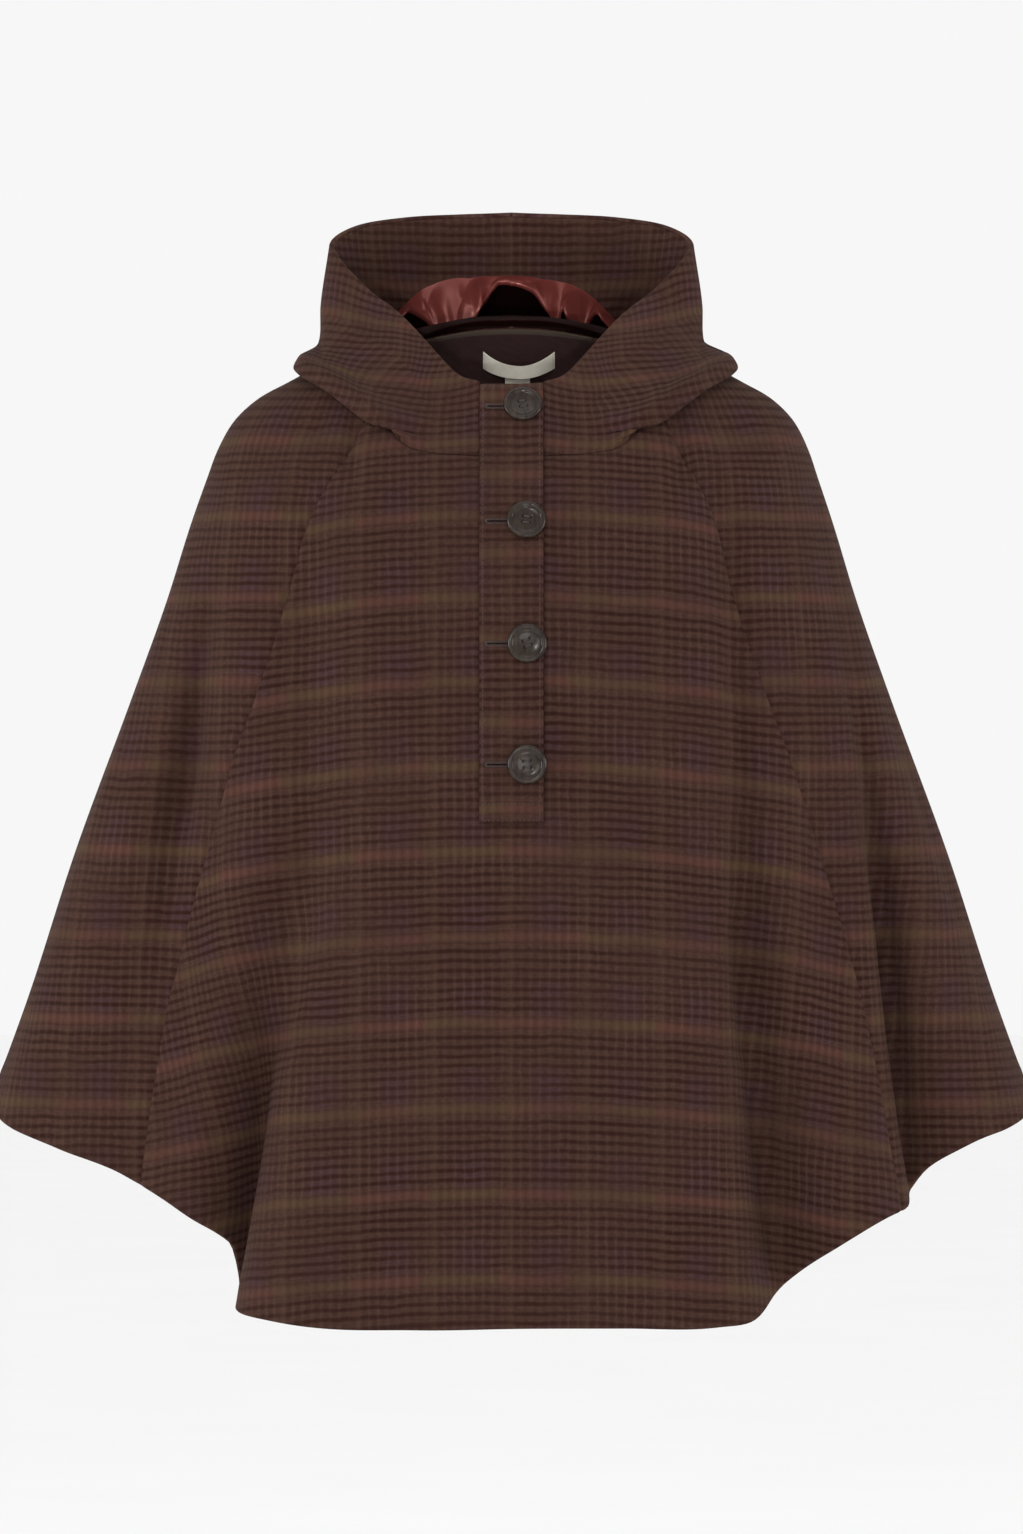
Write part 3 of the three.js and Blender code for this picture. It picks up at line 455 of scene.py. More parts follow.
def soften(obj, width, past_deg):
    """Rounds the edges of a piece that turn by more than an angle."""
    soft = obj.modifiers.new("Soft edges", "BEVEL")
    soft.width = width * 0.001
    soft.segments = 2
    soft.limit_method = "ANGLE"
    soft.angle_limit = math.radians(past_deg)


def thicken(obj, wall, material, edge=0.5):
    """Gives a sheet its wall, half of it to each side, and soft edges."""
    solid = obj.modifiers.new("Wall", "SOLIDIFY")
    solid.thickness = wall * 0.001
    solid.offset = 0
    soften(obj, edge, 50)
    obj.data.materials.append(material)


def turn_under(p, n, radius, angles, insides=()):
    """Rows added past the last one: a turned edge, then cloth back up inside."""
    down = unit(p[-1] - p[-2])
    centre = p[-1] - n[-1] * radius
    rows = [centre + radius * (math.cos(a) * n[-1] + math.sin(a) * down) for a in np.radians(angles)]
    rows += [p[i] - n[i] * 2 * radius for i in insides]
    return np.concatenate([p, np.stack(rows)])


def seam_dip(p, sides, depth=1.6, half=2.3):
    """How far the cloth is drawn in beside its seams: left, right and top."""
    across = run(p, 1)
    lift = np.zeros(p.shape[:2])
    if "left" in sides:
        lift -= depth * np.exp(-((across / half) ** 2))
    if "right" in sides:
        lift -= depth * np.exp(-(((across[:, -1:] - across) / half) ** 2))
    if "top" in sides:
        lift -= depth * np.exp(-((run(p, 0) / half) ** 2))
    return lift


# Materials
MATH, VECTOR_MATH, NOISE = "ShaderNodeMath", "ShaderNodeVectorMath", "ShaderNodeTexNoise"
MIX, RANGE, BUMP = "ShaderNodeMix", "ShaderNodeMapRange", "ShaderNodeBump"
TIMES, PLUS = {"operation": "MULTIPLY"}, {"operation": "ADD"}
TIMES_PLUS, SINE = {"operation": "MULTIPLY_ADD"}, {"operation": "SINE"}
COLOURS = {"data_type": "RGBA", "out": 2}


def linear(hex_colour):
    """An sRGB hex colour as linear red, green, blue and alpha."""
    parts = [int(hex_colour[i:i + 2], 16) / 255 for i in (1, 3, 5)]
    return tuple(c / 12.92 if c <= 0.04045 else ((c + 0.055) / 1.055) ** 2.4 for c in parts) + (1,)


def as_value(value):
    """A hex colour made linear, and any other value as it is."""
    return linear(value) if isinstance(value, str) and value.startswith("#") else value


def node(tree, kind, *inputs, out=0, **named):
    """Adds a node and gives one of its outputs. Inputs come in the order of the
    sockets. A name with a capital is a socket, _6 is the socket numbered 6, and any
    other name is a setting."""
    made = tree.nodes.new(kind)
    sockets = dict(enumerate(inputs))
    for name, value in named.items():
        if name[0] == "_":
            sockets[int(name[1:])] = value
        elif name[0].isupper():
            sockets[name.replace("_", " ")] = value
        else:
            setattr(made, name, value)
    for key, value in sockets.items():
        if isinstance(value, bpy.types.NodeSocket):
            tree.links.new(value, made.inputs[key])
        else:
            made.inputs[key].default_value = as_value(value)
    return made.outputs[out]


def new_material(name, **principled):
    """A material, with a function that adds a node to it and one that joins an
    output to its shader."""
    material = bpy.data.materials.new(name)
    material.use_nodes = True
    tree = material.node_tree
    shader = tree.nodes["Principled BSDF"]
    for key, value in principled.items():
        shader.inputs[key.replace("_", " ")].default_value = as_value(value)

    def add(kind, *inputs, **named):
        return node(tree, kind, *inputs, **named)

    def join(output, socket):
        tree.links.new(output, shader.inputs[socket])

    return material, add, join


def stripes(add, at, pitch, shift, width, soft):
    """1 on stripes of a width, repeating by a pitch, and 0 between them."""
    moved = add(MATH, at, pitch * 1000.5 - shift, **PLUS)
    saw = add(MATH, moved, pitch, operation="MODULO")
    off = add(MATH, saw, -pitch / 2, **PLUS)
    off = add(MATH, off, operation="ABSOLUTE")
    return add(RANGE, off, width / 2 + soft, max(0.0, width / 2 - soft), 0.0, 1.0,
               interpolation_type="SMOOTHSTEP")


# The cloth's check in millimetres: pitch of the fine lines, and its two larger
# repeats, one of nine lines across and one of eight lines down.
LINE_PITCH = 6.68
BAND_REPEAT = LINE_PITCH * 9
STRIPE_REPEAT = LINE_PITCH * 8
TWILL_PITCH = 1.1
# Noise to a metre: a thread's run and its width.
THREAD_RUN, THREAD_WIDTH = 260.0, 1500.0
DARK_YARN = "#240f09"


def tweed(name, band_shift=0.0):
    """Wool tweed, woven in a small glen check and brushed: dull, with heathered
    threads, a fine dark grid, ochre bands across and faint pale lines down."""
    material, add, join = new_material(
        name, Roughness=0.95, Specular_IOR_Level=0.12, Sheen_Weight=0.05,
        Sheen_Roughness=0.5, Sheen_Tint="#a98a76", IOR=1.45)
    cloth = add("ShaderNodeUVMap", uv_map="Cloth")
    # The lines wander by up to 2 mm off the straight.
    wander = add(NOISE, Vector=cloth, Scale=38.0, Detail=3.0, out=1)
    wander = add(VECTOR_MATH, wander, (-0.5, -0.5, -0.5), **PLUS)
    bent = add(VECTOR_MATH, wander, (0.0034, 0.0038, 0.0), cloth, **TIMES_PLUS)
    apart = add("ShaderNodeSeparateXYZ", bent).node
    u = add(MATH, apart.outputs[0], 1000.0, **TIMES)
    v = add(MATH, apart.outputs[1], 1000.0, **TIMES)
    # Heathered ground: slow drifts of two browns and single coloured threads.
    drift = add(NOISE, Vector=cloth, Scale=28.0, Detail=3.0)
    block = add(NOISE, Vector=cloth, Scale=18.0, Detail=1.0)
    shifting = add(NOISE, Vector=cloth, Scale=14.0, Detail=1.0)
    threads = add(VECTOR_MATH, bent, (THREAD_RUN, THREAD_WIDTH, 1.0), **TIMES)
    weft = add(NOISE, Vector=threads, Scale=1.0, Detail=1.0)
    threads = add(VECTOR_MATH, bent, (THREAD_WIDTH, THREAD_RUN, 1.0), **TIMES)
    warp = add(NOISE, Vector=threads, Scale=1.0, Detail=1.0)
    slub = add(NOISE, Vector=cloth, Scale=330.0, Detail=1.0)
    slub = add(RANGE, slub, 0.35, 0.72, 0.0, 0.5)
    # Purple threads both ways, in broad, faint blocks.
    purple = stripes(add, u, STRIPE_REPEAT, STRIPE_REPEAT * 0.5, 22.0, 7.0)
    purple = add(MATH, purple, stripes(add, v, BAND_REPEAT, 15.0, 26.0, 6.0), **TIMES)
    purple = add(MATH, purple, add(MATH, drift, 0.55, **TIMES), **TIMES)
    # Ochre bands across, brick red in places.
    band = stripes(add, v, BAND_REPEAT, band_shift, 8.6, 2.2)
    brick = stripes(add, u, STRIPE_REPEAT * 2, 20.0, 52.0, 8.0)
    brick = add(MATH, brick, 0.35, shifting, **TIMES_PLUS)
    brick = add(RANGE, brick, 0.60, 0.82, 0.0, 1.0, interpolation_type="SMOOTHSTEP")
    ochre = add(MIX, brick, _6="#453323", _7="#4a2e26", **COLOURS)
    shown = add(MATH, band, add(MATH, block, 1.1, 0.05, **TIMES_PLUS), **TIMES)
    # Fine dark lines across, that fade at the bands, with a fainter one between.
    clear = add(MATH, band, -0.75, 1.0, **TIMES_PLUS)
    across = stripes(add, v, LINE_PITCH, band_shift + LINE_PITCH / 2, 3.1, 1.3)
    across = add(MATH, across, clear, **TIMES)
    uneven_dark = add(MATH, shifting, 0.9, 0.1, **TIMES_PLUS)
    uneven_dark = add(MATH, weft, 0.7, uneven_dark, **TIMES_PLUS)
    across = add(MATH, across, uneven_dark, **TIMES)
    second = stripes(add, v, LINE_PITCH, band_shift, 1.2, 0.6)
    second = add(MATH, second, add(MATH, clear, 0.22, **TIMES), **TIMES)
    # Fine lines down, dark and pale by turns. Every eighth dark one is faint and has
    # a faint ochre stripe over it.
    pale = stripes(add, u, STRIPE_REPEAT, -1.4, 5.0, 2.4)
    between = stripes(add, u, LINE_PITCH, 0.0, 1.4, 0.8)
    between = add(MATH, between, add(MATH, block, 0.3, -0.07, **TIMES_PLUS), **TIMES)
    down = stripes(add, u, LINE_PITCH, LINE_PITCH / 2, 2.5, 1.2)
    down = add(MATH, down, add(MATH, warp, 0.8, 0.2, **TIMES_PLUS), **TIMES)
    down = add(MATH, down, add(MATH, pale, -0.3, 0.36, **TIMES_PLUS), **TIMES)
    colour = add(MIX, drift, _6="#3a2721", _7="#442f27", **COLOURS)
    for share, yarn in (
        (slub, "#2a1813"), (purple, "#382433"), (shown, ochre),
        (add(MATH, across, 0.92, **TIMES), DARK_YARN), (second, DARK_YARN), (between, "#5d4b45"),
        (down, DARK_YARN), (add(MATH, pale, 0.13, **TIMES), "#4b382a"),
    ):
        colour = add(MIX, share, _6=colour, _7=yarn, **COLOURS)
    # Flecks of single threads.
    fleck = add(MATH, add(MATH, weft, warp, **PLUS), 0.5, 0.33, **TIMES_PLUS)
    grey = add("ShaderNodeCombineColor", fleck, fleck, fleck)
    join(add(MIX, 0.6, _6=colour, _7=grey, blend_type="MULTIPLY", **COLOURS), "Base Color")
    # Relief: the twill's threads, the brushed nap, and the dark lines a little sunk.
    turn = add(MATH, add(MATH, u, v, **PLUS), 2 * math.pi / TWILL_PITCH, **TIMES)
    nap = add(NOISE, Vector=cloth, Scale=900.0, Detail=2.0)
    height = add(MATH, add(MATH, turn, **SINE), 0.22, nap, **TIMES_PLUS)
    height = add(MATH, across, -0.5, height, **TIMES_PLUS)
    join(add(BUMP, Strength=0.5, Distance=0.0006, Height=height), "Normal")
    return material


def satin():
    """Polyester lining satin, woven with long floats: glossy along its folds,
    with painted shade where it goes under: darker there, and less glossy."""
    material, add, join = new_material(
        "Lining satin, woven", Roughness=0.27, Specular_Tint="#ffb3aa", Anisotropic=0.3)
    cloth = add("ShaderNodeUVMap", uv_map="Cloth")
    # Painted shade where the satin goes under: by the under attribute its colour falls to near black and
    # its gloss fades.
    under = add("ShaderNodeAttribute", attribute_name="under", out=2)
    drift = add(NOISE, Vector=cloth, Scale=60.0, Detail=2.0)
    colour = add(MIX, drift, _6="#4a1f1d", _7="#5e2c27", **COLOURS)
    join(add(MIX, under, _6=colour, _7="#0b0303", **COLOURS), "Base Color")
    join(add(MATH, under, -0.9, 0.95, **TIMES_PLUS), "Specular IOR Level")
    floats = add(VECTOR_MATH, cloth, (2600.0, 300.0, 1.0), **TIMES)
    fine = add(NOISE, Vector=floats, Scale=1.0, Detail=1.0)
    join(add(BUMP, Strength=0.12, Distance=0.0002, Height=fine), "Normal")
    return material


def plain_weave(name, light, dark, roughness, threads_per_metre, relief, bound=None):
    """A plain woven cloth: threads of two near colours over and under, and a
    paler binding along its top where one is given."""
    material, add, join = new_material(name, Roughness=roughness, Specular_IOR_Level=0.15)
    cloth = add("ShaderNodeUVMap", uv_map="Cloth")
    apart = add("ShaderNodeSeparateXYZ", cloth).node
    turn = 2 * math.pi * threads_per_metre
    u, v = (add(MATH, add(MATH, apart.outputs[i], turn, **TIMES), **SINE) for i in (0, 1))
    weave = add(MATH, u, v, **TIMES)
    noise = add(NOISE, Vector=cloth, Scale=120.0, Detail=3.0)
    amount = add(MATH, weave, 0.25, noise, **TIMES_PLUS)
    colour = add(MIX, amount, _6=dark, _7=light, **COLOURS)
    if bound:
        top = add(RANGE, apart.outputs[1], -0.0042, -0.0034, 0.0, 0.8)
        colour = add(MIX, top, _6=colour, _7=bound, **COLOURS)
    join(colour, "Base Color")
    join(add(BUMP, Strength=relief, Distance=0.0003, Height=weave), "Normal")
    return material


def horn():
    """Horn-effect polyester resin, turned and polished: dark, streaked brown to
    grey-green, with a clear gloss."""
    material, add, join = new_material(
        "Horn-effect resin, polished", Roughness=0.16, Specular_IOR_Level=0.18)
    at = add("ShaderNodeTexCoord", out=3)
    streak = add(VECTOR_MATH, at, (220.0, 60.0, 70.0), **TIMES)
    noise = add(NOISE, Vector=streak, Scale=1.0, Detail=4.0, Distortion=1.2)
    ramp = add("ShaderNodeValToRGB", noise)
    for end, place, colour in ((0, 0.32, "#18110e"), (1, 0.72, "#2f261f")):
        ramp.node.color_ramp.elements[end].position = place
        ramp.node.color_ramp.elements[end].color = linear(colour)
    join(ramp, "Base Color")
    return material


def thread(name, colour):
    """Spun polyester sewing thread: matt, with a fine twist."""
    material, add, join = new_material(name, Roughness=0.7, Sheen_Weight=0.2, Sheen_Roughness=0.4)
    at = add("ShaderNodeTexCoord", out=3)
    twist = add(NOISE, Vector=at, Scale=1400.0, Detail=1.0)
    lit = linear(colour)
    shaded = tuple(c * 0.6 for c in lit[:3]) + (1,)
    join(add(MIX, twist, _6=shaded, _7=lit, **COLOURS), "Base Color")
    return material


TWEED = tweed("Wool tweed, brushed")
TWEED_PLACKET = tweed("Wool tweed, brushed, half a repeat down", BAND_REPEAT / 2)
SATIN = satin()
BROWN = plain_weave("Brown cotton twill, woven", "#3a2525", "#251616", 0.9, 900, 0.4, "#40382f")
RIBBON = plain_weave("Ivory ribbon, damask woven", "#d6d0c3", "#bdb6a7", 0.6, 1600, 0.25)
HORN = horn()
TWEED_THREAD = thread("Brown sewing thread", "#2b1a15")
BUTTON_THREAD = thread("Dark buttonhole thread", "#241a18")


# Pieces of cloth
def declare(obj, node_name, flat, area, rests_on, pieces=()):
    """Hangs a sheet of cloth from the root and hides the solid that it dresses. Its flat size in metres and
    area in square metres are not used.
    """
    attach(obj, "root")
    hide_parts(node_name)
    "gathered" if "hood" in node_name else "hung"
    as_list(rests_on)


BODY_ROWS = np.concatenate([
    [0, 0.0025, 0.006, 0.012], np.linspace(0.02, SLOT_K, 58), np.linspace(SLOT_K, 1, 62)[1:]])
# The hem: radius and angles of its turned edge, the rows that its cloth goes back
# up behind, and how far the pattern has run on at each angle and by each row.
HEM_TURN = 1.3
HEM_ANGLES = (35, 70, 110, 145, 180)
HEM_INSIDE = (-2, -3, -4, -5)
HEM_TURN_RUN = (0.8, 1.6, 2.4, 3.2, 4.1)
HEM_ROW = 6
# Depth and height of the thicker double cloth above the hem.
HEM_STEP, HEM_DEEP = 0.35, 32
# Slant distance down the middle of the front, by height, for the cloth's pattern.
FRONT_KS = np.linspace(0, 1, 400)
FRONT_MIDDLE = from_neck(0.0, FRONT_KS)
DOWN_AT = through(-FRONT_MIDDLE[:, 2], run(FRONT_MIDDLE[None], 1)[0] - FRONT_MIDDLE[0, 2])
# Distance of the pattern's apex above the neck, from the droop of its lines.
DROOP = 900


def slant(height):
    return np.where(height > NECKLINE[0][1], -height, DOWN_AT(-height))


def cloth_uv(p, centre, droop=True):
    """Where each place lies on the flat cloth, whose warp hangs upright."""
    flat = p.copy()
    flat[..., 2] = 0
    a = run(flat, 1)
    behind = -1 if p[..., 1].mean() > 0 else 1
    a = a - a[:, [centre]] + p[:, [centre], 0] * behind
    s = slant(p[..., 2])
    if not droop:
        return np.stack([a, -s], -1)
    r = DROOP + s
    return np.stack([r * np.sin(a / r), DROOP - r * np.cos(a / r)], -1)


def body_piece(name, degs, centre, droop, keep=None):
    """A panel of the body, with its creases, drawn-in seams and turned hem."""
    ks = BODY_ROWS[:, None] + np.zeros_like(degs)
    p = from_neck(degs, ks)
    n = body_normal(degs, ks)
    uv = cloth_uv(p, centre, droop)
    lift = pressed(degs, ks, CREASES, body_to_mm) + seam_dip(p, ("left", "right", "top"))
    hem = run(p[::-1], 0)[::-1]
    lift += HEM_STEP * ease((HEM_DEEP - hem) / 5)
    p = turn_under(p + n * lift[..., None], n, HEM_TURN, HEM_ANGLES, HEM_INSIDE)
    gone = list(HEM_TURN_RUN)
    gone += [gone[-1] + HEM_ROW * i for i in range(1, len(HEM_INSIDE) + 1)]
    uv = np.concatenate([uv] + [uv[-1:] - [[[0, s]]] for s in gone])
    obj = sheet_mesh(name, p, uv, keep)
    thicken(obj, WOOL_WALL, TWEED)
    return obj


def gap_deg(deg, k):
    """Half the gap of a seam as an angle."""
    return SEWN_GAP / 2 / (norm(from_neck(deg + 0.2, k) - from_neck(deg - 0.2, k))[..., 0] / 0.4)


def spread(start, end, shares):
    """A column for each share of the way from one edge to the other."""
    return start[:, None] + (end - start)[:, None] * shares[None]


def between(start, end, shares):
    """A panel's columns from seam to seam, with half of each seam's gap left."""
    return spread(start + gap_deg(start, BODY_ROWS), end - gap_deg(end, BODY_ROWS), shares)


ROW_RAGLAN = raglan_at(BODY_ROWS)
OVERARM = np.full_like(BODY_ROWS, OVERARM_DEG)
BACK_RAGLAN = np.full_like(BODY_ROWS, BACK_RAGLAN_DEG)
SIDE_SHARES = uneven(56)
SIDE_BACK_SHARES = uneven(44)
BACK_SHARES = uneven(120)

# The front, with the slot for the placket down to its foot.
right_of_slot, left_of_slot = deg_at_x(-SLOT_HALF, BODY_ROWS), deg_at_x(SLOT_HALF, BODY_ROWS)
raglan_edge = ROW_RAGLAN - gap_deg(ROW_RAGLAN, BODY_ROWS)
half_shares = np.concatenate([np.linspace(0, 0.975, 62), [0.985, 0.992, 0.997, 1]])
SLOT_CELLS = 9
right_part = spread(right_of_slot, -raglan_edge, half_shares)[:, ::-1]
slot_part = spread(right_of_slot, left_of_slot, np.arange(1, SLOT_CELLS) / SLOT_CELLS)
left_part = spread(left_of_slot, raglan_edge, half_shares)
slot_first = right_part.shape[1] - 1
slot_row = int(np.argmin(np.abs(BODY_ROWS - SLOT_K)))


def keep_front(r, c):
    return (r >= slot_row) | (c < slot_first) | (c >= slot_first + SLOT_CELLS)


front = body_piece("front_panel_cloth", np.concatenate([right_part, slot_part, left_part], 1),
                   slot_first + SLOT_CELLS // 2, True, keep_front)
declare(front, "front_panel", (0.62, 0.66), 0.27, ["side_front_left", "side_front_right"])
# Each other panel: its azimuths, the column whose pattern hangs upright, whether the
# pattern droops, flat size, area, and what it is sewn to.
for name, degs, centre, droop, flat, area, sewn_to in (
    ("side_front_left", between(ROW_RAGLAN, OVERARM, SIDE_SHARES),
     0, False, (0.26, 0.64), 0.10, ["front_panel"]),
    ("side_front_right", between(-OVERARM, -ROW_RAGLAN, SIDE_SHARES),
     -1, False, (0.26, 0.64), 0.10, ["front_panel"]),
    ("side_back_left", between(OVERARM, BACK_RAGLAN, SIDE_BACK_SHARES),
     -1, False, (0.25, 0.62), 0.10, ["back_panel"]),
    ("side_back_right", between(-BACK_RAGLAN, -OVERARM, SIDE_BACK_SHARES),
     0, False, (0.25, 0.62), 0.10, ["back_panel"]),
    ("back_panel", between(BACK_RAGLAN, 360 - BACK_RAGLAN, BACK_SHARES),
     len(BACK_SHARES) // 2, True, (0.62, 0.74), 0.30, ["side_back_left", "side_back_right"]),
):
    panel = body_piece(name + "_cloth", degs, centre, droop)
    declare(panel, name, flat, area, sewn_to)

# The hood: two halves, with the rim turned over onto the facing.
LINING_WALL = 1.2
FACING_WALL = 1.6
SATIN_WALL = 0.6
RIBBON_WALL = 0.7
FACING_LIFT = WOOL_WALL / 2 + 3 * SEAM_GAP + LINING_WALL / 2
HOOD_MARKS = np.concatenate([
    [0, 0.12, 0.3, 0.6, 1], np.linspace(1, 5, 22)[1:], np.linspace(5, 7, 16)[1:],
    np.linspace(7, 10, 34)[1:], np.linspace(10, 11, 15)[1:]])
RIM_TURN = FACING_LIFT / 2
RIM_ANGLES = (30, 60, 90, 120, 150, 175)
RIM_TURN_RUN = (0.7, 1.3, 2.0, 2.6, 3.2, 3.9)
# A place inside the hood, that its outside faces away from.
HOOD_MIDDLE = np.array([0, 0, -20])
# The first row past the part that is rolled under, and the wall's own mark.
ROLLED_ROWS = 40
WALL_MARK = 9


def hood_degs(side):
    """Azimuths of a half's columns, from the placket round to the centre back."""
    degs = np.linspace(PLACKET_DEGS[side], 179.99, 150)
    return side * np.concatenate([degs[:1], degs[0] + np.array([0.4, 0.9]), degs[1:-1],
                                  [179.3, 179.7, 179.99]])


def soften_roll_end(degs, p):
    """The roll dies away towards the front in one easy curve."""
    smooth = p.copy()
    for _ in range(60):
        smooth[:, 1:-1] = (smooth[:, :-2] + 2 * smooth[:, 1:-1] + smooth[:, 2:]) / 4
    here = ease((np.abs(degs) - 20) / 8) * ease((60 - np.abs(degs)) / 12)
    there = ease((HOOD_MARKS - 0.6) / 2) * ease((10.6 - HOOD_MARKS) / 1.5)
    return mix(p, smooth, (there[:, None] * here[None])[..., None])


def hood_surface(side):
    """One half's azimuths, the middle of its cloth, and its normals facing out."""
    degs = hood_degs(side)
    p = soften_roll_end(degs, hood_grid(degs, HOOD_MARKS))
    n = grid_normals(p)
    out = np.where((n * (p - HOOD_MIDDLE)).sum(-1)[-8:].mean() < 0, -1, 1)
    return degs, p, n * out


def hood_uv(p, side):
    """The hood's cloth: across from the placket, and up its own lines."""
    row = int(np.argmin(np.abs(HOOD_MARKS - WALL_MARK)))
    up = run(p, 0)
    up = up - up[[row]] + p[[row], :, 2]
    tilt = 0.21 * np.minimum(np.abs(p[[row], :, 0]), 110)
    return np.stack([side * (SLOT_HALF + run(p, 1)), up + tilt], -1)


def hood_half(node_name, side):
    """A half from the neck seam to the rim, with the rim turned over."""
    degs, p, n = hood_surface(side)
    lift = pressed(degs[None], HOOD_MARKS[:, None], HOOD_CREASES, hood_to_mm)
    lift += seam_dip(p, ("right", "top"), 0.8)
    lift *= ease((RIM_MARK - HOOD_MARKS) / 1.2)[:, None] * 0.999 + 0.001
    p = p + n * lift[..., None]
    p[:, -1, 0] = side * SEWN_GAP / 2
    p[:, 0, 0] = side * SLOT_HALF
    uv = hood_uv(p, side)
    uv = np.concatenate([uv] + [uv[-1:] + [[[0, s]]] for s in RIM_TURN_RUN])
    p = turn_under(p, n, RIM_TURN, RIM_ANGLES)
    if not turned_out(p[ROLLED_ROWS:], HOOD_MIDDLE):
        p, uv = p[:, ::-1], uv[:, ::-1]
    obj = sheet_mesh(node_name + "_cloth", p, uv)
    thicken(obj, WOOL_WALL, TWEED)
    declare(obj, node_name, (0.36, 0.40), 0.125, ["back_panel"])


hood_half("hood_left", 1)
hood_half("hood_right", -1)


def inside_columns():
    """The whole hood from one front edge round to the other, and its normals."""
    _, right, right_n = hood_surface(-1)
    _, left, left_n = hood_surface(1)
    p = np.concatenate([right, left[:, -2::-1]], 1)
    n = np.concatenate([right_n, left_n[:, -2::-1]], 1)
    return p, n


INSIDE, INSIDE_N = inside_columns()
INSIDE_DEGS = np.concatenate([hood_degs(-1), hood_degs(1)[-2::-1]])


def arc_uv(p):
    """Across from the middle of the back, and upright by height."""
    a = run(p, 1)
    middle = p.shape[1] // 2
    return np.stack([a - a[:, middle:middle + 1], p[..., 2]], -1)


# Lower edge of the facing by distance to the wearer's left, and the satin's
# lowest fold as it hangs in the hood.
FACING_EDGE = [
    (-140, 10), (-110, 22), (-92, 34), (-80, 46), (-70, 57), (-52, 64.5), (-20, 67.5), (0, 68),
    (20, 67), (34, 64), (52, 60), (65, 50), (73, 40), (90, 24), (110, 12), (140, 6),
]
SATIN_EDGE = [
    (-140, 4), (-110, 14), (-92, 30), (-81, 43), (-67, 32.8), (-53, 26.2), (-45.8, 24.7),
    (-42, 32), (-36.2, 35.4), (-30.4, 37.2), (-25.3, 45.3), (-20.1, 50.4), (-14.3, 58.4),
    (-9.2, 63.5), (0, 62.8), (10.6, 59.9), (18.7, 54.8), (25.3, 46.7), (31.1, 40.1),
    (38.4, 30.6), (41.4, 42.3), (47.2, 37.9), (53.8, 32), (60.4, 24.7), (64, 40.1),
    (69.9, 36.5), (80, 26), (92, 14), (110, 4), (140, 0),
]
LOW_ROWS = np.searchsorted(HOOD_MARKS, [8.9, 9.6])


def edge_row():
    """For each column of the hood, the row at which the facing ends."""
    x, z = INSIDE[..., 0], INSIDE[..., 2]
    target = column(FACING_EDGE, 1)(x)
    index = np.arange(len(z))
    found = np.empty(z.shape[1])
    for c in range(z.shape[1]):
        above = (z[:, c] - target[:, c])[::-1]
        first = int(np.argmax(above < 0)) if (above < 0).any() else len(z) - 1
        first = max(1, first)
        k = above[first - 1] / max(1e-6, above[first - 1] - above[first])
        found[c] = index[::-1][first] + 1 - np.clip(k, 0, 1)
    low, high = LOW_ROWS
    found = np.clip(found, low, high + 12)
    return np.convolve(np.pad(found, 4, mode="edge"), np.ones(9) / 9, "valid")


FACING_ROW = edge_row()


def at_row(values, rows):
    """Values of a grid at a fractional row for each column."""
    i = np.clip(rows.astype(int), 0, len(values) - 2)
    k = (rows - i)[:, None]
    columns = np.arange(values.shape[1])
    return values[i, columns] * (1 - k) + values[i + 1, columns] * k


def hood_facing():
    """Wool inside the rim, deeper towards the sides."""
    last = len(HOOD_MARKS) - 1
    shares = np.concatenate([[0, 0.02, 0.05], np.linspace(0.1, 1, 18)])
    grid = INSIDE - INSIDE_N * FACING_LIFT
    p = np.stack([at_row(grid, mix(FACING_ROW, last, k)) for k in shares])
    obj = sheet_mesh("hood_facing_cloth", p[:, ::-1], arc_uv(p)[:, ::-1])
    thicken(obj, FACING_WALL, TWEED)
    declare(obj, "hood_facing", (0.60, 0.06), None, ["hood_left", "hood_right"])


hood_facing()

# The satin's rows down to its lowest fold, its columns, the fold's angles and
# radius, and the marks of the hood that it follows down inside.
SATIN_ROWS = 40
SATIN_COLUMNS = 600
SATIN_FOLD = (35, 75, 115, 150, 180)
SATIN_FOLD_RADIUS = 2.6
SATIN_MARKS = (
    7.8, 7.3, 6.9, 6.5, 6.1, 5.7, 5.2, 4.6, 4, 3.5, 3, 2.5, 2, 1.57, 1.38, 1.19, 1, 0.6, 0.3, 0.12,
)


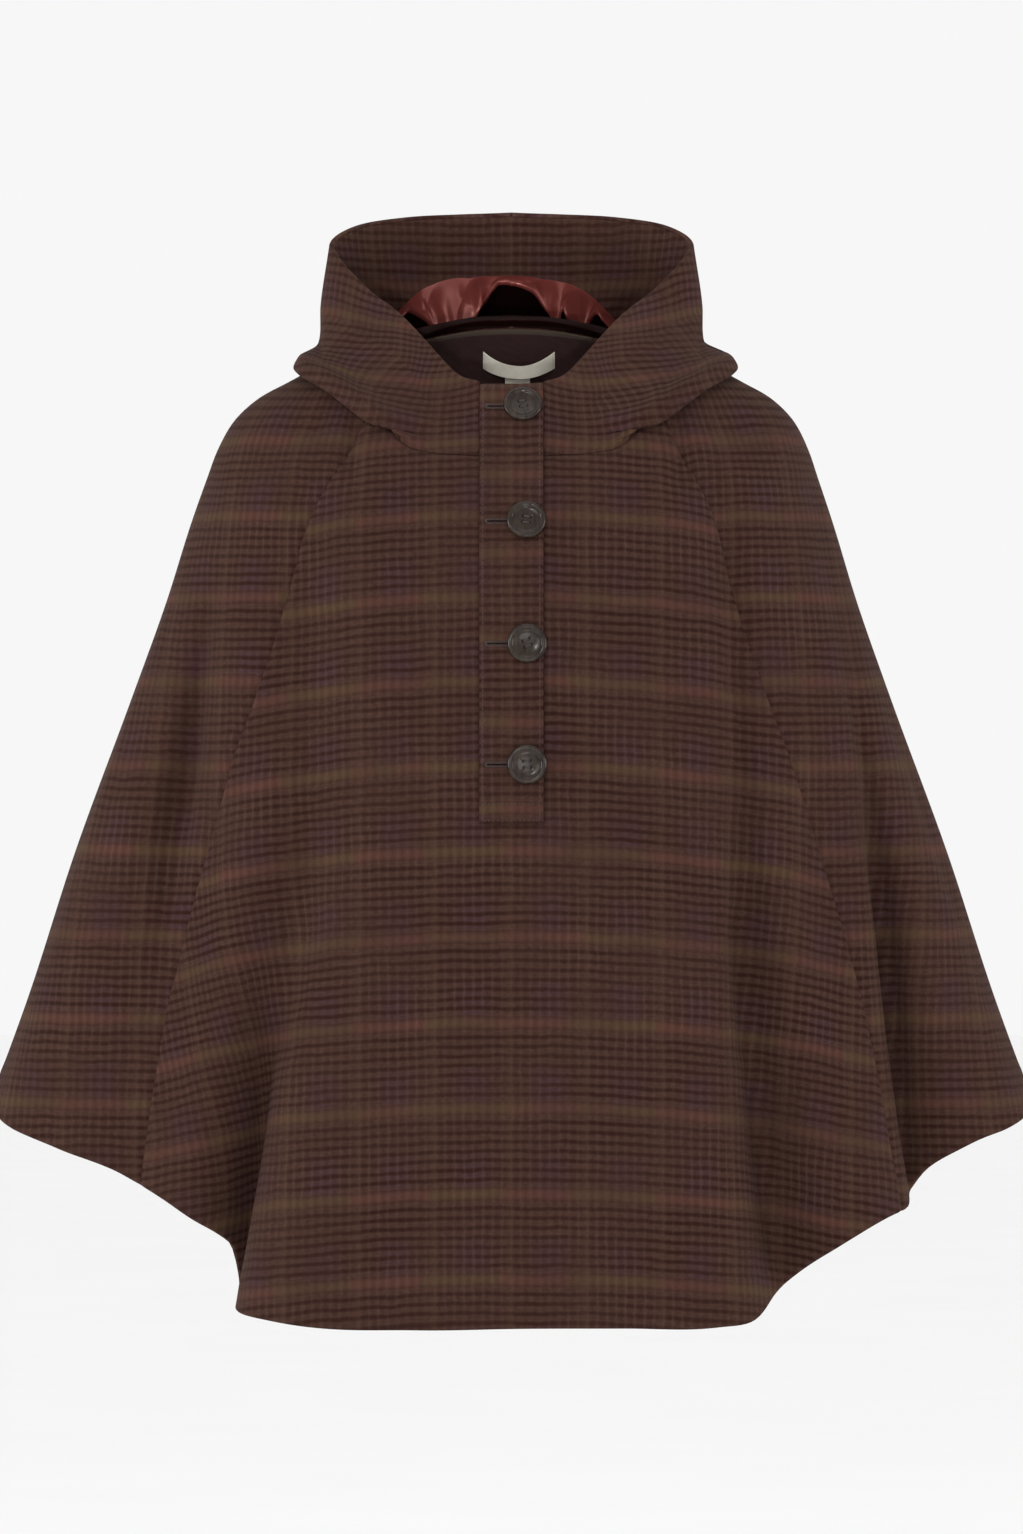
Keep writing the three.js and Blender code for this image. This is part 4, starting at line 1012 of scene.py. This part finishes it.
def hood_lining():
    """Satin from the facing's edge: it swells, turns under, and goes down inside."""
    chosen = np.abs(INSIDE_DEGS) > 84
    index = np.arange(chosen.sum())
    fine = np.linspace(0, len(index) - 1, SATIN_COLUMNS)

    def finer(values):
        values = values[chosen] if len(values) == len(chosen) else values
        return np.stack([through(index, values[:, c])(fine) for c in range(3)], -1)

    top, top_n = finer(at_row(INSIDE, FACING_ROW)), finer(at_row(INSIDE_N, FACING_ROW))
    inward = -unit(np.concatenate([top_n[:, :2], np.zeros((len(top), 1))], 1))
    start = top - top_n * (FACING_LIFT + 0.9)
    start[:, 2] += 2.5
    x = top[:, 0]
    edge = column(SATIN_EDGE, 1)(x)
    sideways = np.clip((np.abs(x) - 70) / 50, 0, 1)
    depth = np.maximum(5, start[:, 2] - edge)
    fullness = np.clip(depth / 22, 0.25, 1)
    # Slow swells across, and then sharper folds that run askew down the satin.
    crumple = (np.sin(x / 7.3 + 0.8) + 0.7 * np.sin(x / 3.9 + 2.1) + 0.5 * np.sin(x / 2.3)) / 2.2
    bulge = (18 + 5 * crumple - 10 * sideways) * fullness
    rows = []
    for k in np.linspace(0, 1, SATIN_ROWS):
        swing = math.sin(k * math.pi / 2) ** 1.4
        arch = math.sin(k * math.pi)
        ripple = 3.4 * (np.abs(np.sin(x / 8.6 + 2.2 * k + 0.4)) - 0.6) * arch ** 0.6
        ripple -= 2.0 * np.abs(np.sin(x / 4.7 - 3.1 * k + np.sin(x / 11))) * arch ** 0.8 * k
        p = start + inward * (bulge * swing + ripple * fullness)[:, None]
        p[:, 2] = start[:, 2] - depth * (1 - (1 - k) ** 1.15)
        rows.append(p)
    crest = rows[-1]
    for a in np.radians(SATIN_FOLD):
        p = crest - inward * (SATIN_FOLD_RADIUS * (1 - math.cos(a)))
        p[:, 2] = crest[:, 2] - SATIN_FOLD_RADIUS * math.sin(a)
        rows.append(p)
    under = rows[-1]
    # Over the sharp turn above the neck seam the satin stands off the wool.
    off = 1.6 + 1.5 * np.exp(-(((HOOD_MARKS - 1.0) / 0.6) ** 2))
    grid = INSIDE - INSIDE_N * off[:, None, None]

    def at_mark(mark):
        return finer(grid[int(np.argmin(np.abs(HOOD_MARKS - mark)))])

    inner = at_mark(8.2)
    for k in (0.3, 0.65, 1.0):
        p = mix(under, inner, k)
        p[:, 2] += 5 * math.sin(k * math.pi)
        rows.append(p)
    rows += [at_mark(m) for m in SATIN_MARKS]
    p = np.stack(rows)
    obj = sheet_mesh("hood_lining_cloth", p, np.stack([run(p, 1), -run(p, 0)], -1))
    # Painted shade: past the lowest fold, the share of the satin that has gone under is darkened and
    # dulled.
    painted_shade_share = ease((np.arange(len(p)) - SATIN_ROWS) / 3)
    layer = obj.data.attributes.new("under", "FLOAT", "POINT")
    layer.data.foreach_set("value", np.repeat(painted_shade_share, p.shape[1]))
    thicken(obj, SATIN_WALL, SATIN, 0.15)
    declare(obj, "hood_lining", (0.62, 0.36), 0.17, ["hood_facing"])


hood_lining()

# The half-moon facing inside the back of the neck, bound along its top.
NECK_LIFT = WOOL_WALL / 2 + SEAM_GAP + LINING_WALL / 2


def neck_facing():
    degs = np.linspace(98, 262, 120)
    ks = np.concatenate([[0, 0.002, 0.004, 0.007], np.linspace(0.012, 0.105, 24)])
    d, k = np.meshgrid(degs, ks)
    p = from_neck(d, k)
    n = body_normal(d, k)
    bound = np.exp(-((run(p, 0) / 2.2) ** 2))
    p = p - n * (NECK_LIFT + 0.6 - 0.5 * bound)[..., None]
    obj = sheet_mesh("neck_facing_cloth", p[:, ::-1], np.stack([run(p, 1), -run(p, 0)], -1)[:, ::-1])
    thicken(obj, LINING_WALL, BROWN, 0.3)
    declare(obj, "neck_facing", (0.33, 0.075), None, ["back_panel"])


neck_facing()


def on_neck_facing(x, down, lift):
    """Places on the neck facing, lifted off it towards the neck."""
    k = down / BODY_LENGTH
    x = np.broadcast_to(x, k.shape)
    degs = np.empty_like(k)
    for column_x in np.unique(x):
        same = x == column_x
        degs[same] = deg_at_x(float(column_x), k[same], behind=True)
    off = NECK_LIFT + LINING_WALL / 2 + SEAM_GAP + 0.5 + lift
    return from_neck(degs, k) - body_normal(degs, k) * off[..., None]


def ribbon(name, x_middle, width, down_from, height, sag, bow, bend, rows, cols):
    """A woven ribbon: sewn by its ends where it sags and bows, or by its top."""
    u = np.linspace(-1, 1, cols)[None] + np.zeros((rows, 1))
    share = np.linspace(0, 1, rows)[:, None] + np.zeros((1, cols))
    down = down_from + sag * (1 - u * u) + (height - 0.7 * sag * (1 - u * u)) * share
    x = x_middle + u * width / 2
    x = np.where(np.abs(x) < 1e-6, 1e-3, x)
    lift = bend + bow * (1 - u * u) * (0.75 + 0.5 * share)
    lift -= 0.5 * np.exp(-(((1 - np.abs(u)) * width / 2 / 3) ** 2))
    p = on_neck_facing(x, down, lift)
    uv = np.stack([u * width / 2, -share * height], -1)
    obj = sheet_mesh(name, p[:, ::-1], uv[:, ::-1])
    thicken(obj, RIBBON_WALL, RIBBON, 0.2)
    return obj, p


label, label_places = ribbon("label_ribbon", 5.5, 53, 20, 15.5, 9, 8, 0.8, 15, 41)
declare(label, "label", (0.058, 0.016), None, ["neck_facing"])
tab, _ = ribbon("size_tab_ribbon", 4.5, 18.5, 34, 24, 0, 0, 4.5, 13, 13)
declare(tab, "size_tab", (0.0185, 0.024), None, ["neck_facing"])


# Placket
STAND_MARK = 10.95


def placket_line(x):
    """The placket's middle surface at one x, from the stand's top down: y and z."""
    side = -1 if x < 0 else 1
    off = x if abs(x) >= 0.5 else 0.5 * side
    stand = hood_grid([side * PLACKET_DEGS[side]], np.linspace(STAND_MARK, 1, 7))[:, 0]
    seam = hood_grid([side * PLACKET_DEGS[side]], [0.0])[0, 0]
    bow = float(from_neck(deg_at_x(off, 0.0), 0.0)[1]) - seam[1]
    ks = np.arange(1, 27) / 26 * SLOT_K * 1.12
    low = from_neck(deg_at_x(off, ks), ks)
    stand[:, 1] += bow
    line, _ = along(np.concatenate([stand, low])[:, 1:])
    return line(np.linspace(0, 1, 600))


PLACKET_XS = np.linspace(-PLACKET_WIDTH / 2, PLACKET_WIDTH / 2, 10)
PLACKET_LINES = [placket_line(float(x)) for x in PLACKET_XS]
PLACKET_TOP = float(PLACKET_LINES[0][0, 1])


def placket_points(x, up, out):
    """Places over the placket's middle surface, for arrays of x, height and lift."""
    x, up, out = np.broadcast_arrays(*(np.asarray(a, float) for a in (x, up, out)))
    ys, slopes = [], []
    for line in PLACKET_LINES:
        z, y = line[::-1, 1], line[::-1, 0]
        ys.append(np.interp(up, z, y))
        slopes.append(np.interp(up, z, np.gradient(y, z)))
    place = np.clip((x - PLACKET_XS[0]) / (PLACKET_XS[1] - PLACKET_XS[0]), 0, len(PLACKET_XS) - 1 - 1e-6)
    i = place.astype(int)
    k = place - i
    ys, slopes = np.stack(ys), np.stack(slopes)
    y = np.take_along_axis(ys, i[None], 0)[0] * (1 - k) + np.take_along_axis(ys, i[None] + 1, 0)[0] * k
    slope = np.take_along_axis(slopes, i[None], 0)[0]
    n = unit(np.stack([np.zeros_like(y), -np.ones_like(y), slope], -1))
    return np.stack([x, y, up], -1) + n * out[..., None], n


OVER_LIFT = WOOL_WALL + SEAM_GAP
HOLE_RIGHT = HOLE_LEFT + HOLE_LENGTH


def band_lift(x, up):
    """The upper band: its left edge drawn down, its free edge standing off a little."""
    sewn = np.exp(-(((x + PLACKET_WIDTH / 2) / 1.8) ** 2))
    free = ease((x - 6) / 16)
    low = ease((-250 - up) / 40) * ease((up - PLACKET_FOOT_UP + 4) / 12)
    top = ease((up + 45) / 30)
    box = ease((PLACKET_FOOT_UP + 3 - up) / 4)
    wave = 0.5 * np.sin(up / 13.0) * (1 - box)
    open_by = free * (0.5 + 1.1 * low + 1.3 * top + wave * 0.6) * (1 - box)
    return OVER_LIFT - 1.1 * sewn + open_by - 0.2 * box


def placket_over():
    """The band with the four buttonholes, in rows 4.2 mm apart beside them."""
    ups = [PLACKET_TOP]
    while ups[-1] > PLACKET_FOOT_UP - PLACKET_BOX + 4.5:
        ups.append(ups[-1] - 4.2)
    ups[-1] = PLACKET_FOOT_UP - PLACKET_BOX
    for up in BUTTON_HEIGHTS:
        ups = [z for z in ups if abs(z - up) > 2.2] + [up + HOLE_OPEN / 2, up - HOLE_OPEN / 2]
    ups = np.array(sorted(ups, reverse=True))
    half = PLACKET_WIDTH / 2
    xs = np.concatenate([[-half, -half + 0.6, -half + 1.6, -half + 3],
                         np.linspace(HOLE_LEFT, HOLE_RIGHT, 11), [16.5, 19.5, 21.5, half]])
    tops = np.array(BUTTON_HEIGHTS) + HOLE_OPEN / 2
    holes = [i for i in range(len(ups) - 1) if np.abs(ups[i] - tops).min() < 1e-6]
    first = int(np.argmin(np.abs(xs - HOLE_LEFT)))
    last = int(np.argmin(np.abs(xs - HOLE_RIGHT)))
    x, up = np.meshgrid(xs, ups)
    p, _ = placket_points(x, up, band_lift(x, up))
    uv = np.stack([x, -slant(up)], -1)
    obj = sheet_mesh("placket_over_cloth", p, uv,
                     lambda r, c: ~(np.isin(r, holes) & (c >= first) & (c < last)))
    thicken(obj, WOOL_WALL, TWEED_PLACKET)
    return obj


def placket_under():
    """The band with the buttons, as wide as the slot that it closes."""
    ups = np.linspace(PLACKET_TOP, PLACKET_FOOT_UP + 1.6, 76)
    x, up = np.meshgrid(np.linspace(-SLOT_HALF, SLOT_HALF, 11), ups)
    p, _ = placket_points(x, up, np.zeros_like(x))
    obj = sheet_mesh("placket_under_cloth", p, np.stack([x, -slant(up)], -1))
    thicken(obj, WOOL_WALL, TWEED_PLACKET)
    declare(obj, "placket_under", (0.045, 0.33), None, ["front_panel", "hood_left"])


# Stitches
def stitch_tree(material):
    """Lays one stitch of thread on each point, along the point's own aim."""
    tree = bpy.data.node_groups.new("Stitches", "GeometryNodeTree")
    face = tree.interface
    face.new_socket("Geometry", in_out="INPUT", socket_type="NodeSocketGeometry")
    length = face.new_socket("Stitch length", in_out="INPUT", socket_type="NodeSocketFloat")
    thick = face.new_socket("Thread thickness", in_out="INPUT", socket_type="NodeSocketFloat")
    face.new_socket("Geometry", in_out="OUTPUT", socket_type="NodeSocketGeometry")
    points, long, wide = node(tree, "NodeGroupInput").node.outputs[:3]
    size = node(tree, "ShaderNodeCombineXYZ", long, wide, wide)
    ball = node(tree, "GeometryNodeMeshUVSphere", Segments=8, Rings=5, Radius=0.5)
    ball = node(tree, "GeometryNodeTransform", Geometry=ball, Scale=size)
    aim, out = (node(tree, "GeometryNodeInputNamedAttribute", name, data_type="FLOAT_VECTOR")
                for name in ("aim", "out"))
    stand = node(tree, "FunctionNodeAlignRotationToVector", Vector=out, axis="Z")
    turned = node(tree, "FunctionNodeAlignRotationToVector", Rotation=stand, Vector=aim,
                  axis="X", pivot_axis="Z")
    laid = node(tree, "GeometryNodeInstanceOnPoints", Points=points, Instance=ball, Rotation=turned)
    real = node(tree, "GeometryNodeRealizeInstances", laid)
    dyed = node(tree, "GeometryNodeSetMaterial", Geometry=real, Material=material)
    tree.links.new(dyed, tree.nodes.new("NodeGroupOutput").inputs[0])
    return tree, length.identifier, thick.identifier


def stitches(name, laid, length, thick, tree):
    """A plain mesh of stitches, from groups of places in millimetres, aims and
    outward directions."""
    points, aims, outs = (np.concatenate(parts) for parts in zip(*laid))
    tree, length_key, thick_key = tree
    mesh = bpy.data.meshes.new(name)
    mesh.from_pydata((points * 0.001).tolist(), [], [])
    for key, values in (("aim", aims), ("out", outs)):
        layer = mesh.attributes.new(key, "FLOAT_VECTOR", "POINT")
        layer.data.foreach_set("vector", values.ravel())
    obj = placed(name, mesh)
    work = obj.modifiers.new("Stitches", "NODES")
    work.node_group = tree
    work[length_key] = length * 0.001
    work[thick_key] = thick * 0.001
    graph = bpy.context.evaluated_depsgraph_get()
    plain = bpy.data.meshes.new_from_object(obj.evaluated_get(graph))
    obj.modifiers.clear()
    obj.data = plain
    plain.name = name
    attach(obj, "root")
    return obj


def row_of_stitches(start, end, pitch):
    """Places in x and height along a straight row, and its direction."""
    start, end = np.array(start, float), np.array(end, float)
    count = max(2, int(round(np.linalg.norm(end - start) / pitch)))
    k = (np.arange(count) + 0.5) / count
    return start + (end - start) * k[:, None], (end - start) / np.linalg.norm(end - start)


THREAD_TREE = stitch_tree(TWEED_THREAD)
BUTTON_TREE = stitch_tree(BUTTON_THREAD)
# Thread on the band: topstitching pitch, and how far off the cloth's middle the
# purl lies, its pitch and its reach from the buttonhole's middle.
STITCH_PITCH = 3.2
PURL_LIFT = 1.05
PURL_PITCH = 0.75
PURL_REACH = HOLE_OPEN / 2 + PURL_OFF


def topstitches():
    """Rows down both edges of the upper band, round its foot and along its top."""
    left, right = 2.2 - PLACKET_WIDTH / 2, PLACKET_WIDTH / 2 - 2.6
    top, foot = PLACKET_TOP - 2, PLACKET_FOOT_UP - PLACKET_BOX + 2
    box_top = PLACKET_FOOT_UP - 1
    laid = []
    for start, end in (
        ((left, top), (left, foot)),
        ((right, top), (right, foot)),
        ((left, foot), (right, foot)),
        ((left, box_top), (right, box_top)),
        ((left, top), (right, top)),
    ):
        spots, way = row_of_stitches(start, end, STITCH_PITCH)
        x, up = spots.T
        lift = band_lift(x, up) + WOOL_WALL / 2
        p, n = placket_points(x, up, lift)
        ahead, _ = placket_points(x + way[0], up + way[1], lift)
        laid.append((p, unit(ahead - p), n))
    return stitches("placket_topstitching", laid, 2.5, 0.55, THREAD_TREE)


def buttonhole_stitches():
    """Purl along both lips of each buttonhole and round its two ends."""
    laid = []
    along_hole = np.arange(HOLE_LEFT, HOLE_RIGHT + 0.01, PURL_PITCH)
    for up in BUTTON_HEIGHTS:
        lift = band_lift(along_hole, np.full_like(along_hole, up)) + PURL_LIFT
        for edge in (1, -1):
            p, n = placket_points(along_hole, up + edge * PURL_REACH, lift)
            laid.append((p, np.tile([0, 0, 1.0], (len(p), 1)), n))
        for x, angles in ((HOLE_LEFT, (120, 150, 180, 210, 240)), (HOLE_RIGHT, (60, 30, 0, -30, -60))):
            a = np.radians(angles)
            lift_here = band_lift(np.full(len(a), float(x)), np.full(len(a), float(up))) + PURL_LIFT
            p, n = placket_points(x + PURL_REACH * np.cos(a), up + PURL_REACH * np.sin(a), lift_here)
            laid.append((p, np.stack([np.cos(a), 0 * a, np.sin(a)], -1), n))
    return stitches("buttonhole_stitching", laid, 1.9, 0.6, THREAD_TREE)


def label_stitches():
    """A short row at each of the label's two ends."""
    laid = []
    inward = unit(np.array([[0, -1.0, 0.6]]))
    k = np.linspace(0.06, 0.94, 9)
    for c in (1, -2):
        line = label_places[:, c]
        at = np.arange(len(line))
        p = np.stack([np.interp(k * at[-1], at, line[:, i]) for i in range(3)], -1)
        aim = np.tile(unit(line[-1] - line[0]), (len(k), 1))
        laid.append((p + inward * 0.5, aim, np.tile(inward, (len(k), 1))))
    stitches("label_stitching", laid, 1.5, 0.35, THREAD_TREE)


over = placket_over()
declare(over, "placket_over", (0.045, 0.345), None, ["front_panel", "hood_right"],
        [topstitches(), buttonhole_stitches()])
placket_under()
label_stitches()


# Buttons
BUTTON_PROFILE = [
    (0, 0), (0.60, 0), (0.80, 0.03), (0.93, 0.16), (0.985, 0.34), (1.0, 0.52), (0.985, 0.72), (0.945, 0.88),
    (0.89, 0.975), (0.83, 0.99), (0.775, 0.945), (0.73, 0.84), (0.68, 0.73), (0.60, 0.655), (0.48, 0.61),
    (0.3, 0.575), (0.12, 0.56), (0, 0.555),
]
BUTTON_TURN = (12, -9, 21, 4)
HOLE_OFFSET = 2.3
HOLE_RADIUS = 1.1
SHANK = SEAM_GAP + 0.6


def lathe(profile, steps):
    """A mesh turned from a profile of radius and height."""
    mesh = bmesh.new()
    rings = []
    for r, t in profile:
        if r == 0:
            rings.append([mesh.verts.new((0, 0, t))])
        else:
            rings.append([mesh.verts.new((r * math.cos(a), r * math.sin(a), t))
                          for a in np.linspace(0, 2 * math.pi, steps, endpoint=False)])
    for a, b in zip(rings, rings[1:]):
        for i in range(steps):
            j = (i + 1) % steps
            corner = [a[i % len(a)], a[j % len(a)], b[j % len(b)], b[i % len(b)]]
            kept = list(dict.fromkeys(corner))
            if len(kept) > 2:
                mesh.faces.new(kept)
    bmesh.ops.recalc_face_normals(mesh, faces=mesh.faces)
    return mesh


def button_mesh():
    """One button lying on the level, with four drilled holes."""
    made = lathe([(r * BUTTON_DIAMETER / 2, t * BUTTON_THICK) for r, t in BUTTON_PROFILE], 72)
    mesh = bpy.data.meshes.new("button")
    made.to_mesh(mesh)
    made.free()
    holes = bmesh.new()
    for x in (-HOLE_OFFSET, HOLE_OFFSET):
        for y in (-HOLE_OFFSET, HOLE_OFFSET):
            done = bmesh.ops.create_cone(holes, cap_ends=True, segments=20, radius1=HOLE_RADIUS,
                                         radius2=HOLE_RADIUS, depth=BUTTON_THICK * 3)
            bmesh.ops.translate(holes, verts=done["verts"], vec=(x, y, 0))
    drill = bpy.data.meshes.new("drill")
    holes.to_mesh(drill)
    holes.free()
    disc, drills = placed("button", mesh), placed("drill", drill)
    cut = disc.modifiers.new("Holes", "BOOLEAN")
    cut.operation = "DIFFERENCE"
    cut.object = drills
    cut.solver = "EXACT"
    graph = bpy.context.evaluated_depsgraph_get()
    drilled = bpy.data.meshes.new_from_object(disc.evaluated_get(graph))
    for obj in (disc, drills):
        bpy.data.objects.remove(obj)
    points = np.empty(len(drilled.vertices) * 3)
    drilled.vertices.foreach_get("co", points)
    return drilled, points.reshape(-1, 3)


def place_buttons():
    """Four buttons on the upper band, each a little turned, with its thread."""
    base, points = button_mesh()
    laid = []
    for n, (x, up, tilt, turn) in enumerate(zip(BUTTON_X, BUTTON_HEIGHTS, BUTTON_TILT, BUTTON_TURN)):
        lift = OVER_LIFT + WOOL_WALL / 2 + SHANK
        p, normal = placket_points(x, up, lift)
        out = unit(normal + [math.sin(math.radians(tilt)) * 0.3, 0, 0])
        turn = math.radians(turn)
        level = unit(np.cross([0, 0, 1.0], out))
        upright = np.cross(out, level)
        right = level * math.cos(turn) + upright * math.sin(turn)
        above = upright * math.cos(turn) - level * math.sin(turn)
        axes = np.stack([right, above, out])
        name = f"button_{n + 1}"
        mesh = base.copy()
        mesh.name = name + "_resin"
        mesh.vertices.foreach_set("co", ((points @ axes + p) * 0.001).ravel())
        mesh.polygons.foreach_set("use_smooth", [True] * len(mesh.polygons))
        mesh.materials.clear()
        mesh.materials.append(HORN)
        obj = placed(name + "_resin", mesh)
        soften(obj, 0.2, 55)
        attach(obj, "root")
        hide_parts(name)
        for side in (-1, 1):
            for strand in (-0.35, 0.35):
                spot = p + above * (side * HOLE_OFFSET + strand) + out * (BUTTON_THICK * 0.6)
                laid.append((spot[None], right[None], out[None]))
    stitches("button_threads", laid, 6.2, 0.85, BUTTON_TREE)


place_buttons()

# Stage
scene = bpy.context.scene
scene.view_settings.view_transform = "Standard"
# Floor and lights, in metres.
FLOOR_UP = -1.45
FLOOR_HALF = 30


def aimed(light, place, way):
    """Puts a light in its place, shining one way."""
    lamp = placed(light.name, light)
    lamp.location = place
    lamp.rotation_euler = Vector(way).to_track_quat("-Z", "Y").to_euler()


def studio():
    """A pale floor, a pale surround and large soft lights."""
    corners = [(x * FLOOR_HALF, y * FLOOR_HALF, FLOOR_UP) for x, y in ((-1, -1), (1, -1), (1, 1), (-1, 1))]
    mesh = bpy.data.meshes.new("studio_floor")
    mesh.from_pydata(corners, [], [(0, 1, 2, 3)])
    floor = placed("studio_floor", mesh)
    # Matt paint, rolled on: a pale floor that is not quite even.
    paint, add, join = new_material("Floor, matt white paint", Roughness=0.9)
    at = add("ShaderNodeTexCoord", out=3)
    grain = add(NOISE, Vector=at, Scale=3.0, Detail=3.0)
    join(add(MIX, grain, _6="#f9f9f9", _7="#fdfdfd", **COLOURS), "Base Color")
    mesh.materials.append(paint)
    world = bpy.data.worlds.new("Studio")
    scene.world = world
    world.use_nodes = True
    world.node_tree.nodes["Background"].inputs[0].default_value = linear("#f7f7f7")
    world.node_tree.nodes["Background"].inputs[1].default_value = 1.0
    for name, place, size, power in (
        ("key", (-1.9, -4.4, 1.3), 2.0, 44),
        ("fill", (2.4, -4.2, 0.4), 2.0, 14),
        ("front", (0.3, -5.4, 0.35), 1.2, 22),
        ("low", (0.2, -3.6, -1.3), 1.0, 16),
        ("left", (-4.2, -0.9, 0.3), 2.0, 110),
        ("right", (4.2, -0.9, 0.3), 2.0, 80),
        ("top", (0, -0.6, 3.4), 2.4, 20),
        ("spark", (-0.8, -4.2, 1.3), 0.2, 16),
    ):
        light = bpy.data.lights.new(name, "AREA")
        light.size = size
        light.energy = power
        aimed(light, place, np.array([0, 0, -0.25]) - np.array(place))
    # A narrow light past the neck, so that the satin shows as it does in the photo.
    narrow = bpy.data.lights.new("into_hood", "SPOT")
    narrow.energy = 430
    narrow.shadow_soft_size = 0.1
    narrow.spot_size = math.radians(4.3)
    narrow.spot_blend = 1.0
    aimed(narrow, (0, -3, -0.4), (0, 3.12, 0.52))


def camera():
    """Level, straight in front and 6 m off, as the photo was taken."""
    made = bpy.data.cameras.new("camera")
    made.sensor_width = 36
    made.lens = 195.6
    made.clip_end = 100
    scene.camera = placed("camera", made)
    scene.camera.location = (0, -6, -0.293)
    scene.camera.rotation_euler = (math.radians(90), 0, 0)


studio()
camera()
